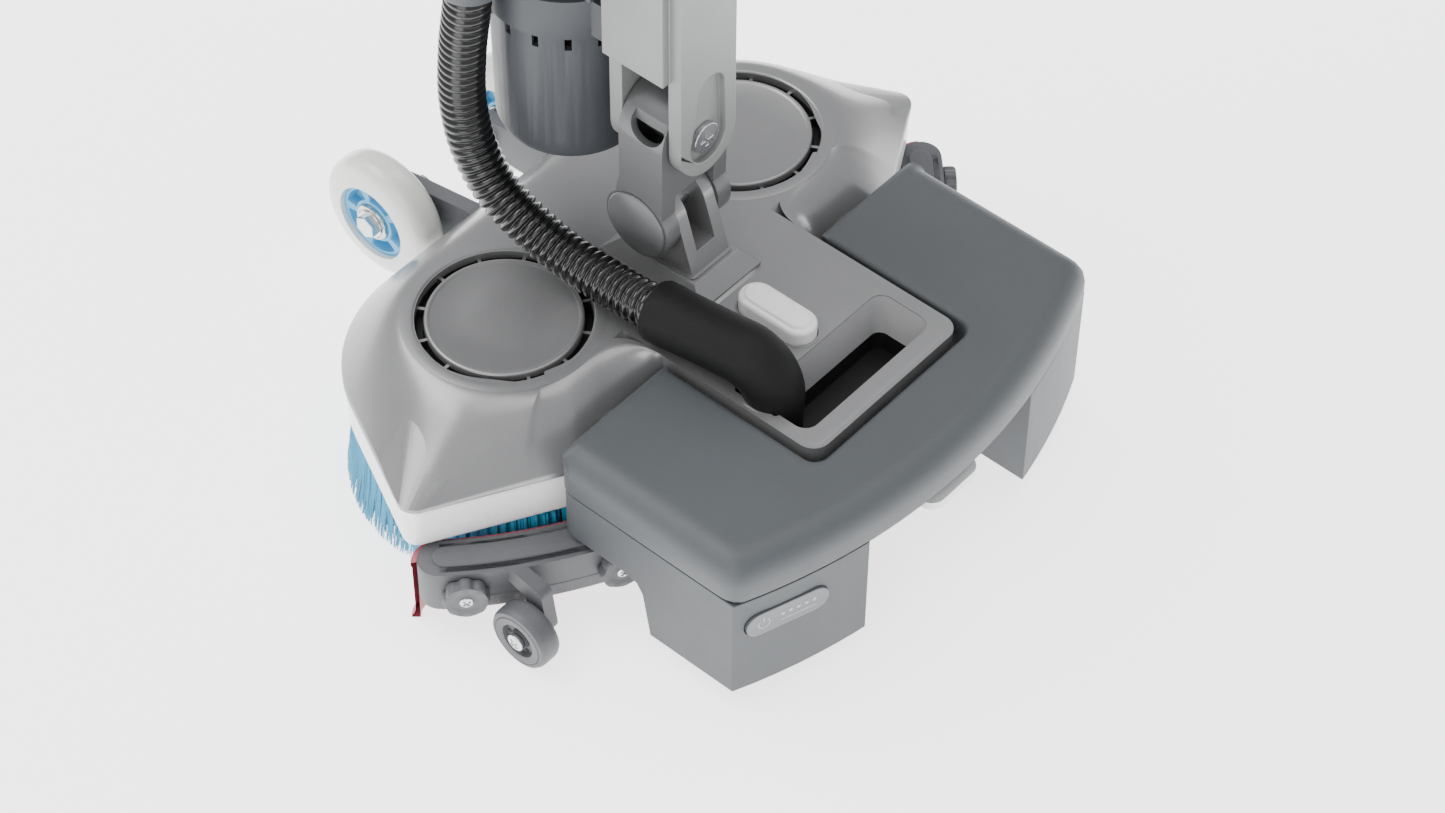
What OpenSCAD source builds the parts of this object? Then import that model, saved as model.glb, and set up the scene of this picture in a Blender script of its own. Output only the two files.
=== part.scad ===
// Walk-behind wet and dry floor scrubber.
// A low deck carries two counter-rotating brushes and a curved squeegee, a horseshoe battery
// slides onto its tail, and a universal joint carries the upright column with the suction
// motor, the two tanks and the handle.
// Frame: +X right, +Y forward, +Z up. The origin is on the floor, straight below the pitch
// axis of the universal joint. All lengths are in millimetres.

/* [Deck] */
// Height of the flat top of the deck
deck_h = 110; // [108:1:112]
// Distance of each brush axis from the middle
pod_x = 92; // [90:1:100]
// Distance of the brush axes ahead of the column pivot
pod_y = 33; // [30:1:36]
// Radius of the round cap over each motor
cap_r = 42; // [38:0.5:43]
// Width of the slotted gap around each cap
groove_w = 4.8; // [3:0.2:5]
// Width of the raised flat ring around each gap
ring_w = 6.2; // [5:0.2:8]
// Radius of the deck over each brush, at its lower lip
lobe_r = 86.5; // [84:0.5:90]
// Height of the lower lip of the deck cover
lip_h = 76; // [74:1:80]
// Height of the vertical face of that lip
lip_t = 2.5; // [2:0.5:4]
// Wall thickness of the deck cover
cover_wall = 3; // [2:0.5:4]
// Distance of the outer rear corners from the middle, at their rounding centre
corner_x = 192.5; // [185:0.5:200]
// Rounding radius of the outer rear corners
corner_r = 10; // [9:0.5:14]

/* [Tail] */
// Half the width of the tail that the battery slides onto
neck_half = 58.8; // [57:0.2:60]
// Distance of the back of the tail behind the pivot
tail_back = 150; // [148:1:152]
// Height of the underside of the tail
tail_low = 64; // [63:1:66]
// Half the width of the hand recess in the tail
recess_half = 50.5; // [46:0.5:51]
// Length of the hand recess along the tail
recess_len = 35.5; // [32:0.5:38]

/* [Skirt and chassis] */
// Height of the lower edge of the white skirt
skirt_low = 48.5; // [48:0.5:50]
// Wall thickness of the skirt
skirt_wall = 3; // [2:0.5:4]
// Height of the underside of the chassis plate
chassis_low = 44; // [43:0.5:45]
// Thickness of the chassis plate
chassis_t = 5; // [4:0.5:5]

/* [Brushes] */
// Radius of each brush at the floor
brush_r = 86; // [82:0.5:86]
// Height of the bristles
bristle_h = 30; // [26:1:31]
// Radius of the brush plate
plate_r = 80; // [76:0.5:82]
// Radius of the drive shaft
shaft_r = 8; // [6:0.5:10]
// Radial running clearance of every shaft, pin and wheel
run_gap = 0.05; // [0.02:0.01:0.1]

/* [Transport wheels] */
// Wheel diameter
wheel_d = 76; // [72:1:80]
// Wheel width
wheel_w = 24; // [22:1:26]
// Radius of the blue wheel core
core_r = 23; // [20:0.5:25]
// Outer radius of the wheel bearings
bearing_r = 11; // [10:0.5:12]
// Radius of the wheel bolt
wheel_bolt_r = 4; // [3:0.5:5]
// Distance of each wheel's middle from the middle of the machine
wheel_x = 52; // [50:1:56]
// Height of the wheel axis
wheel_z = 71; // [69:1:74]

/* [Squeegee] */
// Radius of the middle line of the squeegee bar
bar_r = 277.75; // [276:0.25:279]
// Half the width of the bar
bar_half = 11.75; // [11:0.25:12.5]
// Half the angle that the bar covers
bar_angle = 45; // [43:0.5:45.5]
// Height of the top of the bar
bar_h = 47; // [46:0.5:47.5]
// Height of the lower edge of the bar
bar_low = 20; // [16:1:24]
// Thickness of the blades
blade_t = 3; // [2:0.5:3.5]
// Radius of the clamping knobs
knob_r = 12.5; // [11:0.5:13]
// Radius of the squeegee rollers
roller_r = 18.5; // [17:0.5:19]

/* [Battery] */
// Half the width of the battery
bat_half = 144; // [140:1:148]
// Height of the top of the battery above the deck top, less than zero when lower
bat_drop = -1; // [-3:0.5:0]
// Gap between the battery and the tail
bat_gap = 4; // [3:0.5:5]
// Radius of the curved back face
bat_back_r = 357; // [340:1:400]
// Distance of the middle of the back face behind the pivot
bat_back = 199.5; // [197:0.5:202]
// Thickness of the upper shell at its rim
bat_top_t = 26; // [24:1:28]
// Wall thickness of the shells
bat_wall = 3; // [2.5:0.5:4]
// Height of the underside of the arms
arm_low = 51; // [50:0.5:53]
// Height of the underside of the legs
leg_low = 14; // [10:1:20]

/* [Universal joint] */
// Height of the pitch axis
pitch_z = 149; // [147:1:152]
// Height of the roll axis
roll_z = 208; // [206:1:212]
// Radius of the pitch pin
pin_r = 7; // [5:0.5:8]
// Radius of the side bosses of the yoke
boss_r = 21; // [20:0.5:21.5]
// Half the outer width of the yoke
yoke_half = 25; // [24:0.5:26]
// Thickness of the cheeks of the yoke
cheek_t = 10; // [8:0.5:10]
// Half the width of the two ears with the slot between them
ear_half = 14.4; // [13:0.2:14.4]
// Radius of the roll bolt
roll_bolt_r = 6; // [5:0.5:7]

/* [Column] */
// Half the width of the column
col_half = 21; // [20:0.5:23]
// Distance of the back of the column behind the pivot
col_back = 27; // [26:0.5:29]
// Distance of the front of the column ahead of the pivot
col_front = 21; // [20:0.5:24]
// Thickness of the rear arm
arm_t = 8.5; // [7:0.5:9]
// Height where the closed lower casting starts
fork_top = 256; // [252:1:262]
// Height of the joint between the lower casting and the upper column
splice_z = 330; // [320:5:345]
// Height of the top of the upper column
col_top = 930; // [925:5:945]

/* [Suction motor] */
// Radius of the motor housing
can_r = 41; // [38:0.5:42]
// Distance of its axis ahead of the pivot
can_y = 67; // [66:0.5:70]
// Height of its lower end
can_low = 172; // [168:1:178]
// Height of the lower edge of its collar
collar_low = 258; // [256:1:262]
// Height of the collar
collar_h = 26; // [22:1:30]

/* [Suction hose] */
// Outer radius of the hose
hose_r = 12.5; // [11:0.5:13]
// Radius of the rubber elbow
elbow_r = 17; // [15:0.5:17]
// Radius of the bend of the elbow
bend_r = 20; // [18:0.5:21]

/* [Tanks] */
// Half the width of the recovery tank
dirty_half = 92; // [80:1:100]
// Depth of the recovery tank
dirty_depth = 118; // [100:1:130]
// Height of the underside of the recovery tank
dirty_low = 372; // [365:1:385]
// Height of the recovery tank
dirty_h = 205; // [180:1:210]
// Half the width of the solution tank
clean_half = 84; // [74:1:92]
// Depth of the solution tank
clean_depth = 100; // [88:1:112]
// Height of the underside of the solution tank
clean_low = 705; // [700:1:715]
// Height of the solution tank
clean_h = 190; // [170:1:190]
// Wall thickness of both tanks
tank_wall = 3; // [2.5:0.5:4]
// Radius of the filler neck
neck_r = 26; // [22:1:30]

/* [Handle] */
// Radius of the handle tube
tube_r = 15; // [13:0.5:16]
// Height of the middle of the grips
grip_z = 1130; // [1100:5:1200]
// Half the width across the grips
grip_half = 185; // [160:1:200]
// Radius of the grips
grip_r = 16; // [14:0.5:17]

/* [Hidden] */

eps = 0.01;
fit_gap = 0.3;                                   // room between parts that touch but don't run
round_fn = 96;
hull_fn = 32;

silver = [0.60, 0.60, 0.61];
slate = [0.37, 0.41, 0.44];
dark_grey = [0.34, 0.35, 0.37];
off_white = [0.93, 0.93, 0.92];
black = [0.08, 0.08, 0.08];
hub_blue = [0.24, 0.58, 0.78];
bristle_blue = [0.22, 0.56, 0.72];
blade_red = [0.72, 0.30, 0.34];
steel = [0.72, 0.72, 0.73];
light_grey = [0.58, 0.59, 0.58];

// Deck
groove_r = cap_r + groove_w;
ring_r = groove_r + ring_w;
lip_top = lip_h + lip_t;
corner_y = pod_y - 31;
knee_x = pod_x + 30;
knee_r = corner_r;
knee_y = pod_y - 71;
deck_back = knee_y - knee_r;                     // straight rear edge beside the tail
tail_corner = 10;
recess_back = -tail_back + 12.5;
recess_front = recess_back + recess_len;
recess_r = 8;
rim_low = deck_h - 20;                           // the silver rim of the recess ends here
tray_low = tail_low + 4;
under_top = deck_h - cover_wall;
button_len = 48;
button_w = 20;
button_back = recess_front + 3;
button_rise = 11;
button_travel = 4;
button_low = deck_h - 6;
seat_z = deck_h - 21;                           // top of the seat of the button's spring
spring_wire = 0.6;
chassis_top = chassis_low + chassis_t;
chassis_inset = 7;
skirt_inset = 1.2;
box_top = 101.4;                                 // box section under the middle of the cover
box_half = 38;
tail_plate_low = 58;
tail_plate_t = 4;

pedal_y = -tail_back - 7;
pedal_z = tail_low + 3;
pedal_pin_r = 2;

// Motors and brushes
plate_low = bristle_h;
plate_t = 7;
flange_r = 18;
motor_r = 34;
gearbox_r = 38;
gearbox_low = chassis_top + 3;
gearbox_h = 10;
motor_top = deck_h - 8;
shaft_top = gearbox_low + gearbox_h + 4;
cap_t = 4;

// Wheels
wheel_y = bat_back - wheel_d / 2;
bracket_t = 9;
bracket_low = 60;
bracket_high = 92;
bracket_in = wheel_x - wheel_w / 2 - 3;          // face of the bracket next to the wheel

// Squeegee
bar_wall = 3;
bar_y = pod_y + 147;                             // centre that the bar curves around
link_y = deck_back - 2;
link_z = 50.5;
link_r = 5.5;
link_pin_r = 3;
end_x = bar_r * sin(bar_angle);
end_y = bar_y - bar_r * cos(bar_angle);
knob_angles = [42.5, 26.5];
knob_z = 33;
knob_pin_r = 3;
knob_t = 8;
roller_w = 14;
roller_x = 187;
roller_y = -67;
roller_pin_r = 3;
arm_x = roller_x - roller_w / 2 - 1.5;           // outer face of the roller arm

// Battery
bat_top = deck_h + bat_drop;
bat_seam = bat_top - bat_top_t;
bat_front = deck_back - 1.5;
bat_in = neck_half + bat_gap;
slot_back = -tail_back - bat_gap;
bat_arc_y = bat_back_r - bat_back;
leg_front = -110;
leg_in = 66;
cell_r = 9;
cell_h = 64;
gauge_x = -115;
gauge_z = 62;
gauge_half = 24;
rail_z = 94;
rail_w = 7;
rail_t = 4;

// Column
col_deep = col_back + col_front;
fork_front = 12.5;
yoke_back = -col_back + arm_t + 0.8;
yoke_front = fork_front - 0.8;
yoke_deep = yoke_front - yoke_back;
yoke_mid = (yoke_front + yoke_back) / 2;
web_half = col_half + 5;

// Suction route
elbow_start = [-49, -33.5, deck_h + elbow_r + 0.5];
drop_x = -39.5;
drop_y = recess_front - 4;
elbow_turn = atan2(drop_x - elbow_start[0], elbow_start[1] - drop_y);
elbow_run = norm([drop_x - elbow_start[0], drop_y - elbow_start[1]]) - bend_r;
collar_x = drop_x;
collar_y = drop_y + 4;
collar_r = 7.5;
boot_r = 15;
boot_low = 52;

// Tanks stand on shelves in front of the column
tank_y = col_front + 4;
shelf_t = 5;
inlet_x = -57;                                   // inlet pipe of the recovery tank
inlet_y = 78;
handle_y = (col_front - col_back) / 2;
power_r = 11;

// Middle line of the suction hose, from the elbow to the recovery tank
hose_line = [[-47.5, -44, 127.5], [-49, -33.5, 127.5], [-50, -10.5, 126.5], [-53, 28.6, 131.7],
    [-57, 63, 149], [-58, 82, 173], [-58, 89, 204], [-58, 87, 240], [-58, 81, 279],
    [-57.3, 78.3, 318], [inlet_x, inlet_y, dirty_low - 14]];
hose_split = 4;                                  // the lower length ends at this point
hose_steps = 4;
hose_end_up = [0, 0, 40];

// ---- helpers ----

module mirror_x() {
    children();
    mirror([1, 0, 0]) children();
}

module slab(x, y, z) {                           // box from [min, max] pairs
    translate([x[0], y[0], z[0]]) cube([x[1] - x[0], y[1] - y[0], z[1] - z[0]]);
}

module rod_x(r, x, y, z, fn = round_fn) {        // cylinder along X
    translate([x[0], y, z]) rotate([0, 90, 0]) cylinder(r = r, h = x[1] - x[0], $fn = fn);
}

module rod_y(r, y, x, z, fn = round_fn) {        // cylinder along Y
    translate([x, y[1], z]) rotate([90, 0, 0]) cylinder(r = r, h = y[1] - y[0], $fn = fn);
}

module rod_z(r, z, x, y, fn = round_fn) {        // cylinder along Z
    translate([x, y, z[0]]) cylinder(r = r, h = z[1] - z[0], $fn = fn);
}

module ahead_of(y) {                             // keeps what lies ahead of the given y
    intersection() {
        children();
        slab([-corner_x - 20, corner_x + 20], [y, pod_y + lobe_r + 10], [0, deck_h + 10]);
    }
}

module band(low, high, inset) {                  // the deck's plan as a solid slab
    ahead_of(deck_back + inset) hull() for (s = [-1, 1]) {
        rod_z(lobe_r - inset, [low, high], s * pod_x, pod_y, 72);
        rod_z(corner_r - inset, [low, high], s * corner_x, corner_y, hull_fn);
        rod_z(knee_r - inset, [low, high], s * knee_x, knee_y, hull_fn);
    }
}

module cover_body(inset, drop) {                 // sloping body of the deck, shrunk by inset
    ahead_of(deck_back + inset) hull() for (s = [-1, 1]) {
        rod_z(lobe_r - inset, [lip_h - drop, lip_top - inset], s * pod_x, pod_y, 72);
        rod_z(corner_r - inset, [lip_h - drop, lip_top - inset], s * corner_x, corner_y, hull_fn);
        rod_z(knee_r - inset, [lip_h - drop, lip_top - inset], s * knee_x, knee_y, hull_fn);
        rod_z(ring_r - inset / 2, [deck_h - 2 - inset, deck_h - inset], s * pod_x, pod_y, 72);
    }
}

module tail_block(low, high, inset) {            // tail with rounded rear corners
    hull() for (s = [-1, 1]) {
        rod_z(tail_corner - inset, [low, high], s * (neck_half - tail_corner),
            -tail_back + tail_corner, hull_fn);
        rod_z(tail_corner - inset, [low, high], s * (neck_half - tail_corner),
            pod_y - tail_corner, hull_fn);
    }
}

module recess_block(low, high, grow) {           // rounded box of the hand recess
    hull() for (s = [-1, 1], y = [recess_back + recess_r, recess_front - recess_r])
        rod_z(recess_r + grow, [low, high], s * (recess_half - recess_r), y, hull_fn);
}

module button_block(low, high, grow) {           // stadium of the deck button
    hull() for (y = [button_back + button_w / 2, button_back + button_len - button_w / 2])
        rod_z(button_w / 2 + grow, [low, high], 0, y, hull_fn);
}

// Smooth curve through hand-placed points
function curve_at(a, b, c, d, t) = 0.5 * (2 * b + (c - a) * t
    + (2 * a - 5 * b + 4 * c - d) * t * t + (3 * b - a - 3 * c + d) * t * t * t);
function route(p, before, after, n) = let (
    q = concat([p[0] - before], p, [p[len(p) - 1] + after]))
    concat([for (i = [1 : len(p) - 1], k = [0 : n - 1])
        curve_at(q[i - 1], q[i], q[i + 1], q[i + 2], k / n)], [p[len(p) - 1]]);
function unit(v) = v / norm(v);
function heading(p, i) = unit(p[min(i + 1, len(p) - 1)] - p[max(i - 1, 0)]);

module swept_tube(p, first, last, r, sides) {    // closed tube along points first to last of p
    rings = [for (i = [first : last]) let (t = heading(p, i),
        u = unit(cross(t, [1, 0, 0])), v = cross(t, u))
        for (k = [0 : sides - 1]) p[i] + r * (u * cos(360 * k / sides) + v * sin(360 * k / sides))];
    spans = last - first;
    walls = [for (i = [0 : spans - 1], k = [0 : sides - 1]) let (j = (k + 1) % sides)
        each [[i * sides + k, i * sides + j, (i + 1) * sides + k],
            [i * sides + j, (i + 1) * sides + j, (i + 1) * sides + k]]];
    polyhedron(rings, concat(walls, [[for (k = [sides - 1 : -1 : 0]) k]],
        [[for (k = [0 : sides - 1]) spans * sides + k]]), convexity = 6);
}

// ---- deck ----

module deck_cover() {
    color(silver) difference() {
        union() {
            difference() {
                union() {
                    cover_body(0, 0);
                    tail_block(tail_low, deck_h, 0);
                }
                cover_body(cover_wall, 1);
                tail_block(tail_low - 1, under_top, cover_wall);
            }
            recess_block(rim_low, deck_h - eps, cover_wall);
            mirror_x() slab([neck_half - 1, neck_half + rail_w],
                [-tail_back + 12, deck_back - 12], [rail_z, rail_z + rail_t]);
        }
        recess_block(rim_low - 1, deck_h + 1, 0);
        button_block(deck_h - 10, deck_h + 1, 0.6);
        mirror_x() rod_z(groove_r, [deck_h - 10, deck_h + 1], pod_x, pod_y);
        elbow_way(0.5);
        bracket_notch();
        for (x = [-12, 12], y = [-28, 18]) rod_z(2.6, [deck_h - 10, deck_h + 1], x, y, 24);
    }
}

module elbow_way(gap) {                          // room for the elbow's bend and drop
    for (y = [drop_y, drop_y + 3])
        rod_z(elbow_r + gap, [tray_low - 1, deck_h + 1], drop_x, y);
}

module bracket_notch() {                         // where the wheel brackets come through
    mirror_x() slab([bracket_in - bracket_t - 0.5, bracket_in + 0.5],
        [pod_y + 60, pod_y + lobe_r + 5], [bracket_low - 0.5, bracket_high + 0.5]);
}

module skirt() {
    color(off_white) difference() {
        band(skirt_low, lip_h - 0.5, skirt_inset);
        band(skirt_low - 1, lip_h + 1, skirt_inset + skirt_wall);
        slab([-neck_half - 1, neck_half + 1], [deck_back - 5, 0], [skirt_low - 1, lip_h + 1]);
        bracket_notch();
    }
}

module chassis() {
    color(black) difference() {
        union() {
            intersection() {                     // plate, kept clear of the squeegee
                band(chassis_low, chassis_top, chassis_inset);
                rod_z(bar_r - bar_half - blade_t - 3, [chassis_low - 1, chassis_top + 1], 0, bar_y);
            }
            slab([-neck_half + 5, neck_half - 5], [deck_back + 12, 26], [chassis_top - 1, box_top]);
            slab([-box_half, box_half], [deck_back + 12, 26], [box_top - 1, under_top - 0.3]);
            slab([-neck_half + 5, neck_half - 5], [-tail_back + 6, deck_back + 16],
                [tail_plate_low, tail_plate_low + tail_plate_t]);
            mirror_x() slab([22, 28], [deck_back - 8, deck_back + 10], [chassis_low, chassis_top + 8]);
            mirror_x() slab([18.3, 22], [pedal_y - 5, -tail_back + 8],
                [tail_plate_low, tail_plate_low + tail_plate_t]);
            mirror_x() slab([18.3, 22], [pedal_y - 5, -tail_back - 1], [tail_plate_low, pedal_z + 4]);
            rod_x(pedal_pin_r, [-22, 22], pedal_y, pedal_z, 48);
            mirror_x() slab([bracket_in - bracket_t, bracket_in + 6], [pod_y + 62, pod_y + 72],
                [chassis_top - 1, 78]);
        }
        slab([-neck_half + 10, neck_half - 10], [deck_back + 16, 22], [chassis_top, box_top - 6]);
        mirror_x() rod_z(flange_r - 4, [chassis_low - 1, chassis_top + 1], pod_x, pod_y);
        mirror_x() rod_z(gearbox_r + 1, [chassis_top, 103], pod_x, pod_y);
        rod_x(link_pin_r + run_gap, [-30, 30], link_y, link_z, 48);
        mirror_x() slab([bracket_in - bracket_t - 0.3, bracket_in + 0.3],
            [pod_y + 61.7, pod_y + lobe_r], [bracket_low - 0.3, bracket_high]);
        rod_z(boot_r + 0.2, [tail_plate_low - 1, deck_h], drop_x, drop_y);
        for (x = [-12, 12], y = [-28, 18]) rod_z(2.2, [90, 103], x, y, 24);
    }
}

module motor_caps() {
    color(silver) mirror_x() translate([pod_x, pod_y, deck_h - cap_t]) rotate_extrude($fn = round_fn)
        polygon([[0, 0], [cap_r, 0], [cap_r, cap_t - 1], [cap_r - 0.4, cap_t - 0.2],
            [cap_r - 1.4, cap_t], [cap_r - 2.4, cap_t - 0.3], [cap_r - 3, cap_t - 0.6],
            [0, cap_t - 0.4]]);
}

module vent_rings() {
    low = deck_h - cap_t - 2.4;
    color(black) mirror_x() difference() {
        rod_z(groove_r - 0.2, [low, deck_h - cap_t], pod_x, pod_y);
        rod_z(cap_r - 8, [low - 1, deck_h], pod_x, pod_y);
        for (a = [0 : 30 : 330]) translate([pod_x, pod_y, low + 1]) rotate([0, 0, a])
            slab([cap_r + 0.6, groove_r - 1], [-8, 8], [0, 5]);
    }
    color(black) mirror_x() difference() {       // skirt that clips the ring under the cover
        rod_z(groove_r + 3, [low - 2, low], pod_x, pod_y);
        rod_z(cap_r - 4, [low - 3, low + 1], pod_x, pod_y);
    }
}

module brush_motors() {
    color(dark_grey) mirror_x() difference() {
        union() {
            rod_z(gearbox_r, [gearbox_low, gearbox_low + gearbox_h], pod_x, pod_y);
            rod_z(motor_r, [gearbox_low + gearbox_h - 1, motor_top - 6], pod_x, pod_y);
            rod_z(motor_r - 14, [motor_top - 7, motor_top - 4.2], pod_x, pod_y);
            for (a = [45 : 90 : 315]) rotate_about(pod_x, pod_y, a)
                slab([motor_r - 1, gearbox_r + 5], [-5, 5], [gearbox_low - 3, gearbox_low + 6]);
        }
        rod_z(shaft_r + run_gap, [gearbox_low - 1, shaft_top + 1], pod_x, pod_y);
    }
}

module rotate_about(x, y, a) {
    translate([x, y, 0]) rotate([0, 0, a]) children();
}

module pivot_bracket() {
    ear_r = 19.5;
    color(silver) difference() {
        union() {
            hull() {                             // ears and the neck below them
                rod_x(ear_r, [-ear_half, ear_half], 0, pitch_z, 64);
                slab([-ear_half, ear_half], [-30, 16], [deck_h + 6, deck_h + 8]);
            }
            hull() {                             // flared foot
                slab([-ear_half - 3, ear_half + 3], [-33, 19], [deck_h + 9, deck_h + 10]);
                slab([-24, 24], [-43, 28], [deck_h, deck_h + 2]);
            }
        }
        slab([-7, 7], [-60, 60], [deck_h + 22, pitch_z + 40]);
        rod_x(pin_r, [-ear_half - 5, ear_half + 5], 0, pitch_z);
        for (x = [-12, 12], y = [-28, 18]) rod_z(2.2, [deck_h - 1, deck_h + 8], x, y, 24);
    }
}

module pitch_pin() {
    color(steel) rod_x(pin_r, [-yoke_half + 1.2, yoke_half - 1.2], 0, pitch_z);
}

module deck_button() {
    color(off_white) union() {
        button_block(button_low, deck_h + button_rise - 3, 0);
        hull() {
            button_block(deck_h + button_rise - 3, deck_h + button_rise - 2, 0);
            button_block(deck_h + button_rise - 1, deck_h + button_rise, -2.2);
        }
    }
}

module button_spring() {
    y = button_back + button_len / 2;
    turns = 4;
    steps = 12;
    low = seat_z + spring_wire + 0.1;
    high = button_low - spring_wire - 0.1;
    wire = [for (i = [0 : turns * steps]) let (a = 360 * i / steps)
        [6 * cos(a), y + 6 * sin(a), low + (high - low) * i / (turns * steps)]];
    color(steel) swept_tube(wire, 0, turns * steps, spring_wire, 6);
}

module recess_tray() {
    color(black) difference() {
        union() {
            recess_block(tray_low, rim_low - 0.2, cover_wall - 1);
            slab([-16, 16], [recess_front, button_back + button_len + 1], [seat_z - 3, seat_z]);
        }
        recess_block(tray_low + 3, deck_h, -1.5);
        rod_z(boot_r + 0.2, [tray_low - 1, tray_low + 4], drop_x, drop_y);
        elbow_way(0.5);
    }
}

module suction_elbow() {
    bore = hose_r - 3;
    bend_top = elbow_start[2] - bend_r + 0.5;
    color(black) {
        translate(elbow_start) rotate([0, 0, elbow_turn]) difference() {
            rod_y(elbow_r, [-elbow_run - 0.5, 0], 0, 0);
            rod_y(hose_r + 0.1, [-16, 1], 0, 0);
            rod_y(bore, [-elbow_run - 1, 1], 0, 0);
        }
        translate(elbow_start) rotate([0, 0, elbow_turn]) translate([0, -elbow_run, -bend_r])
            rotate([0, 0, 180]) rotate([0, -90, 0]) rotate_extrude(angle = 90, $fn = round_fn)
                translate([bend_r, 0]) difference() {
                    circle(r = elbow_r - 0.4, $fn = 48);
                    circle(r = bore - 0.4, $fn = 48);
                }
        difference() {                           // drop, and the boot that reaches the squeegee
            rod_z(boot_r, [boot_low, bend_top], drop_x, drop_y);
            rod_z(bore, [boot_low - 1, bend_top + 1], drop_x, drop_y);
            rod_z(boot_r - 1.4, [boot_low - 1, tray_low], drop_x, drop_y);
        }
    }
}

module foot_pedal() {
    color(off_white) difference() {
        union() {
            hull() for (x = [-12, 12]) {
                rod_z(8, [pedal_z - 1, pedal_z + 4], x, -bat_back + 10, hull_fn);
                rod_z(5, [pedal_z - 1, pedal_z + 4], x, pedal_y - 1, hull_fn);
            }
            rod_x(4.5, [-17, 17], pedal_y, pedal_z, 48);
        }
        rod_x(pedal_pin_r + run_gap, [-20, 20], pedal_y, pedal_z, 48);
    }
}

// ---- transport wheels ----

module wheel_brackets() {
    color(dark_grey) mirror_x() difference() {
        union() {
            hull() {
                rod_x(12, [bracket_in - bracket_t, bracket_in], wheel_y, wheel_z, 48);
                slab([bracket_in - bracket_t, bracket_in], [pod_y + 77, pod_y + 80],
                    [bracket_low, bracket_high]);
            }
            slab([bracket_in - bracket_t, bracket_in], [pod_y + 62, pod_y + 79],
                [bracket_low, bracket_high]);
        }
        rod_x(wheel_bolt_r, [0, wheel_x], wheel_y, wheel_z, 48);
    }
}

module wheel_bolts() {
    out = wheel_x + wheel_w / 2;
    color(steel) mirror_x() {
        rod_x(wheel_bolt_r, [bracket_in - bracket_t - 8, out], wheel_y, wheel_z, 48);
        rod_x(7, [out, out + 4.5], wheel_y, wheel_z, 6);
        rod_x(7, [bracket_in - bracket_t - 6, bracket_in - bracket_t], wheel_y, wheel_z, 6);
        difference() {
            rod_x(6.5, [bracket_in, bracket_in + 2.6], wheel_y, wheel_z, 48);
            rod_x(wheel_bolt_r - 0.5, [0, wheel_x], wheel_y, wheel_z, 48);
        }
    }
}

module wheel_at(s) {                             // wheel frame: middle of the wheel, axis +X outwards
    translate([s * wheel_x, wheel_y, wheel_z]) rotate([0, s > 0 ? 90 : -90, 0]) children();
}

module tyre(s) {
    color(off_white) wheel_at(s) rotate_extrude($fn = round_fn) polygon([
        [core_r, -wheel_w / 2 + 3], [core_r + 4, -wheel_w / 2], [wheel_d / 2 - 8, -wheel_w / 2 + 1.5],
        [wheel_d / 2 - 2.5, -wheel_w / 2 + 6], [wheel_d / 2, -3], [wheel_d / 2, 3],
        [wheel_d / 2 - 2.5, wheel_w / 2 - 6], [wheel_d / 2 - 8, wheel_w / 2 - 1.5],
        [core_r + 4, wheel_w / 2], [core_r, wheel_w / 2 - 3]]);
}

module wheel_core(s) {
    color(hub_blue) wheel_at(s) difference() {
        cylinder(r = core_r, h = wheel_w - 6, center = true, $fn = round_fn);
        for (z = [-wheel_w / 2, 3]) translate([0, 0, z]) cylinder(r = bearing_r, h = wheel_w / 2 - 3,
            $fn = round_fn);
        cylinder(r = bearing_r - 2, h = wheel_w, center = true, $fn = round_fn);
        for (a = [0 : 72 : 288]) rotate([0, 0, a]) for (side = [-1, 1])
            translate([(core_r + bearing_r) / 2, 0, side * (wheel_w / 2)])
                cylinder(r = 3.6, h = 14, center = true, $fn = 24);
    }
}

module bearings(s) {
    color(steel) wheel_at(s) for (z = [-wheel_w / 2 + 0.4, 3]) translate([0, 0, z]) difference() {
        cylinder(r = bearing_r, h = wheel_w / 2 - 3.4, $fn = round_fn);
        translate([0, 0, -1]) cylinder(r = wheel_bolt_r + run_gap, h = wheel_w, $fn = 48);
    }
}

module left_tyre() { tyre(-1); }
module right_tyre() { tyre(1); }
module left_wheel_core() { wheel_core(-1); }
module right_wheel_core() { wheel_core(1); }
module left_bearings() { bearings(-1); }
module right_bearings() { bearings(1); }

// ---- brushes ----

module brush_plate(s) {
    color(dark_grey) translate([s * pod_x, pod_y, 0]) difference() {
        union() {
            rod_z(plate_r, [plate_low, plate_low + plate_t], 0, 0);
            rod_z(flange_r, [plate_low + plate_t - 1, chassis_low - 1.5], 0, 0);
            rod_z(shaft_r, [chassis_low - 3, shaft_top], 0, 0);
        }
        for (a = [0 : 60 : 300]) rotate([0, 0, a]) translate([48, 0, 0])
            rod_z(9, [plate_low - 1, plate_low + plate_t + 1], 0, 0, 32);
    }
}

module bristles(s) {
    color(bristle_blue) translate([s * pod_x, pod_y, 0]) rotate_extrude($fn = round_fn)
        polygon([[28, bristle_h], [26, 0], [brush_r, 0], [brush_r - 1, 4], [plate_r - 1, bristle_h]]);
}

module left_brush_plate() { brush_plate(-1); }
module right_brush_plate() { brush_plate(1); }
module left_bristles() { bristles(-1); }
module right_bristles() { bristles(1); }

// ---- squeegee ----

module bar_arc(r, z, angle) {                    // [r min, r max] swept round the bar's centre
    translate([0, bar_y, z[0]]) rotate([0, 0, -90 - angle]) rotate_extrude(angle = 2 * angle,
        $fn = 360) translate([r[0], 0]) square([r[1] - r[0], z[1] - z[0]]);
}

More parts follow.
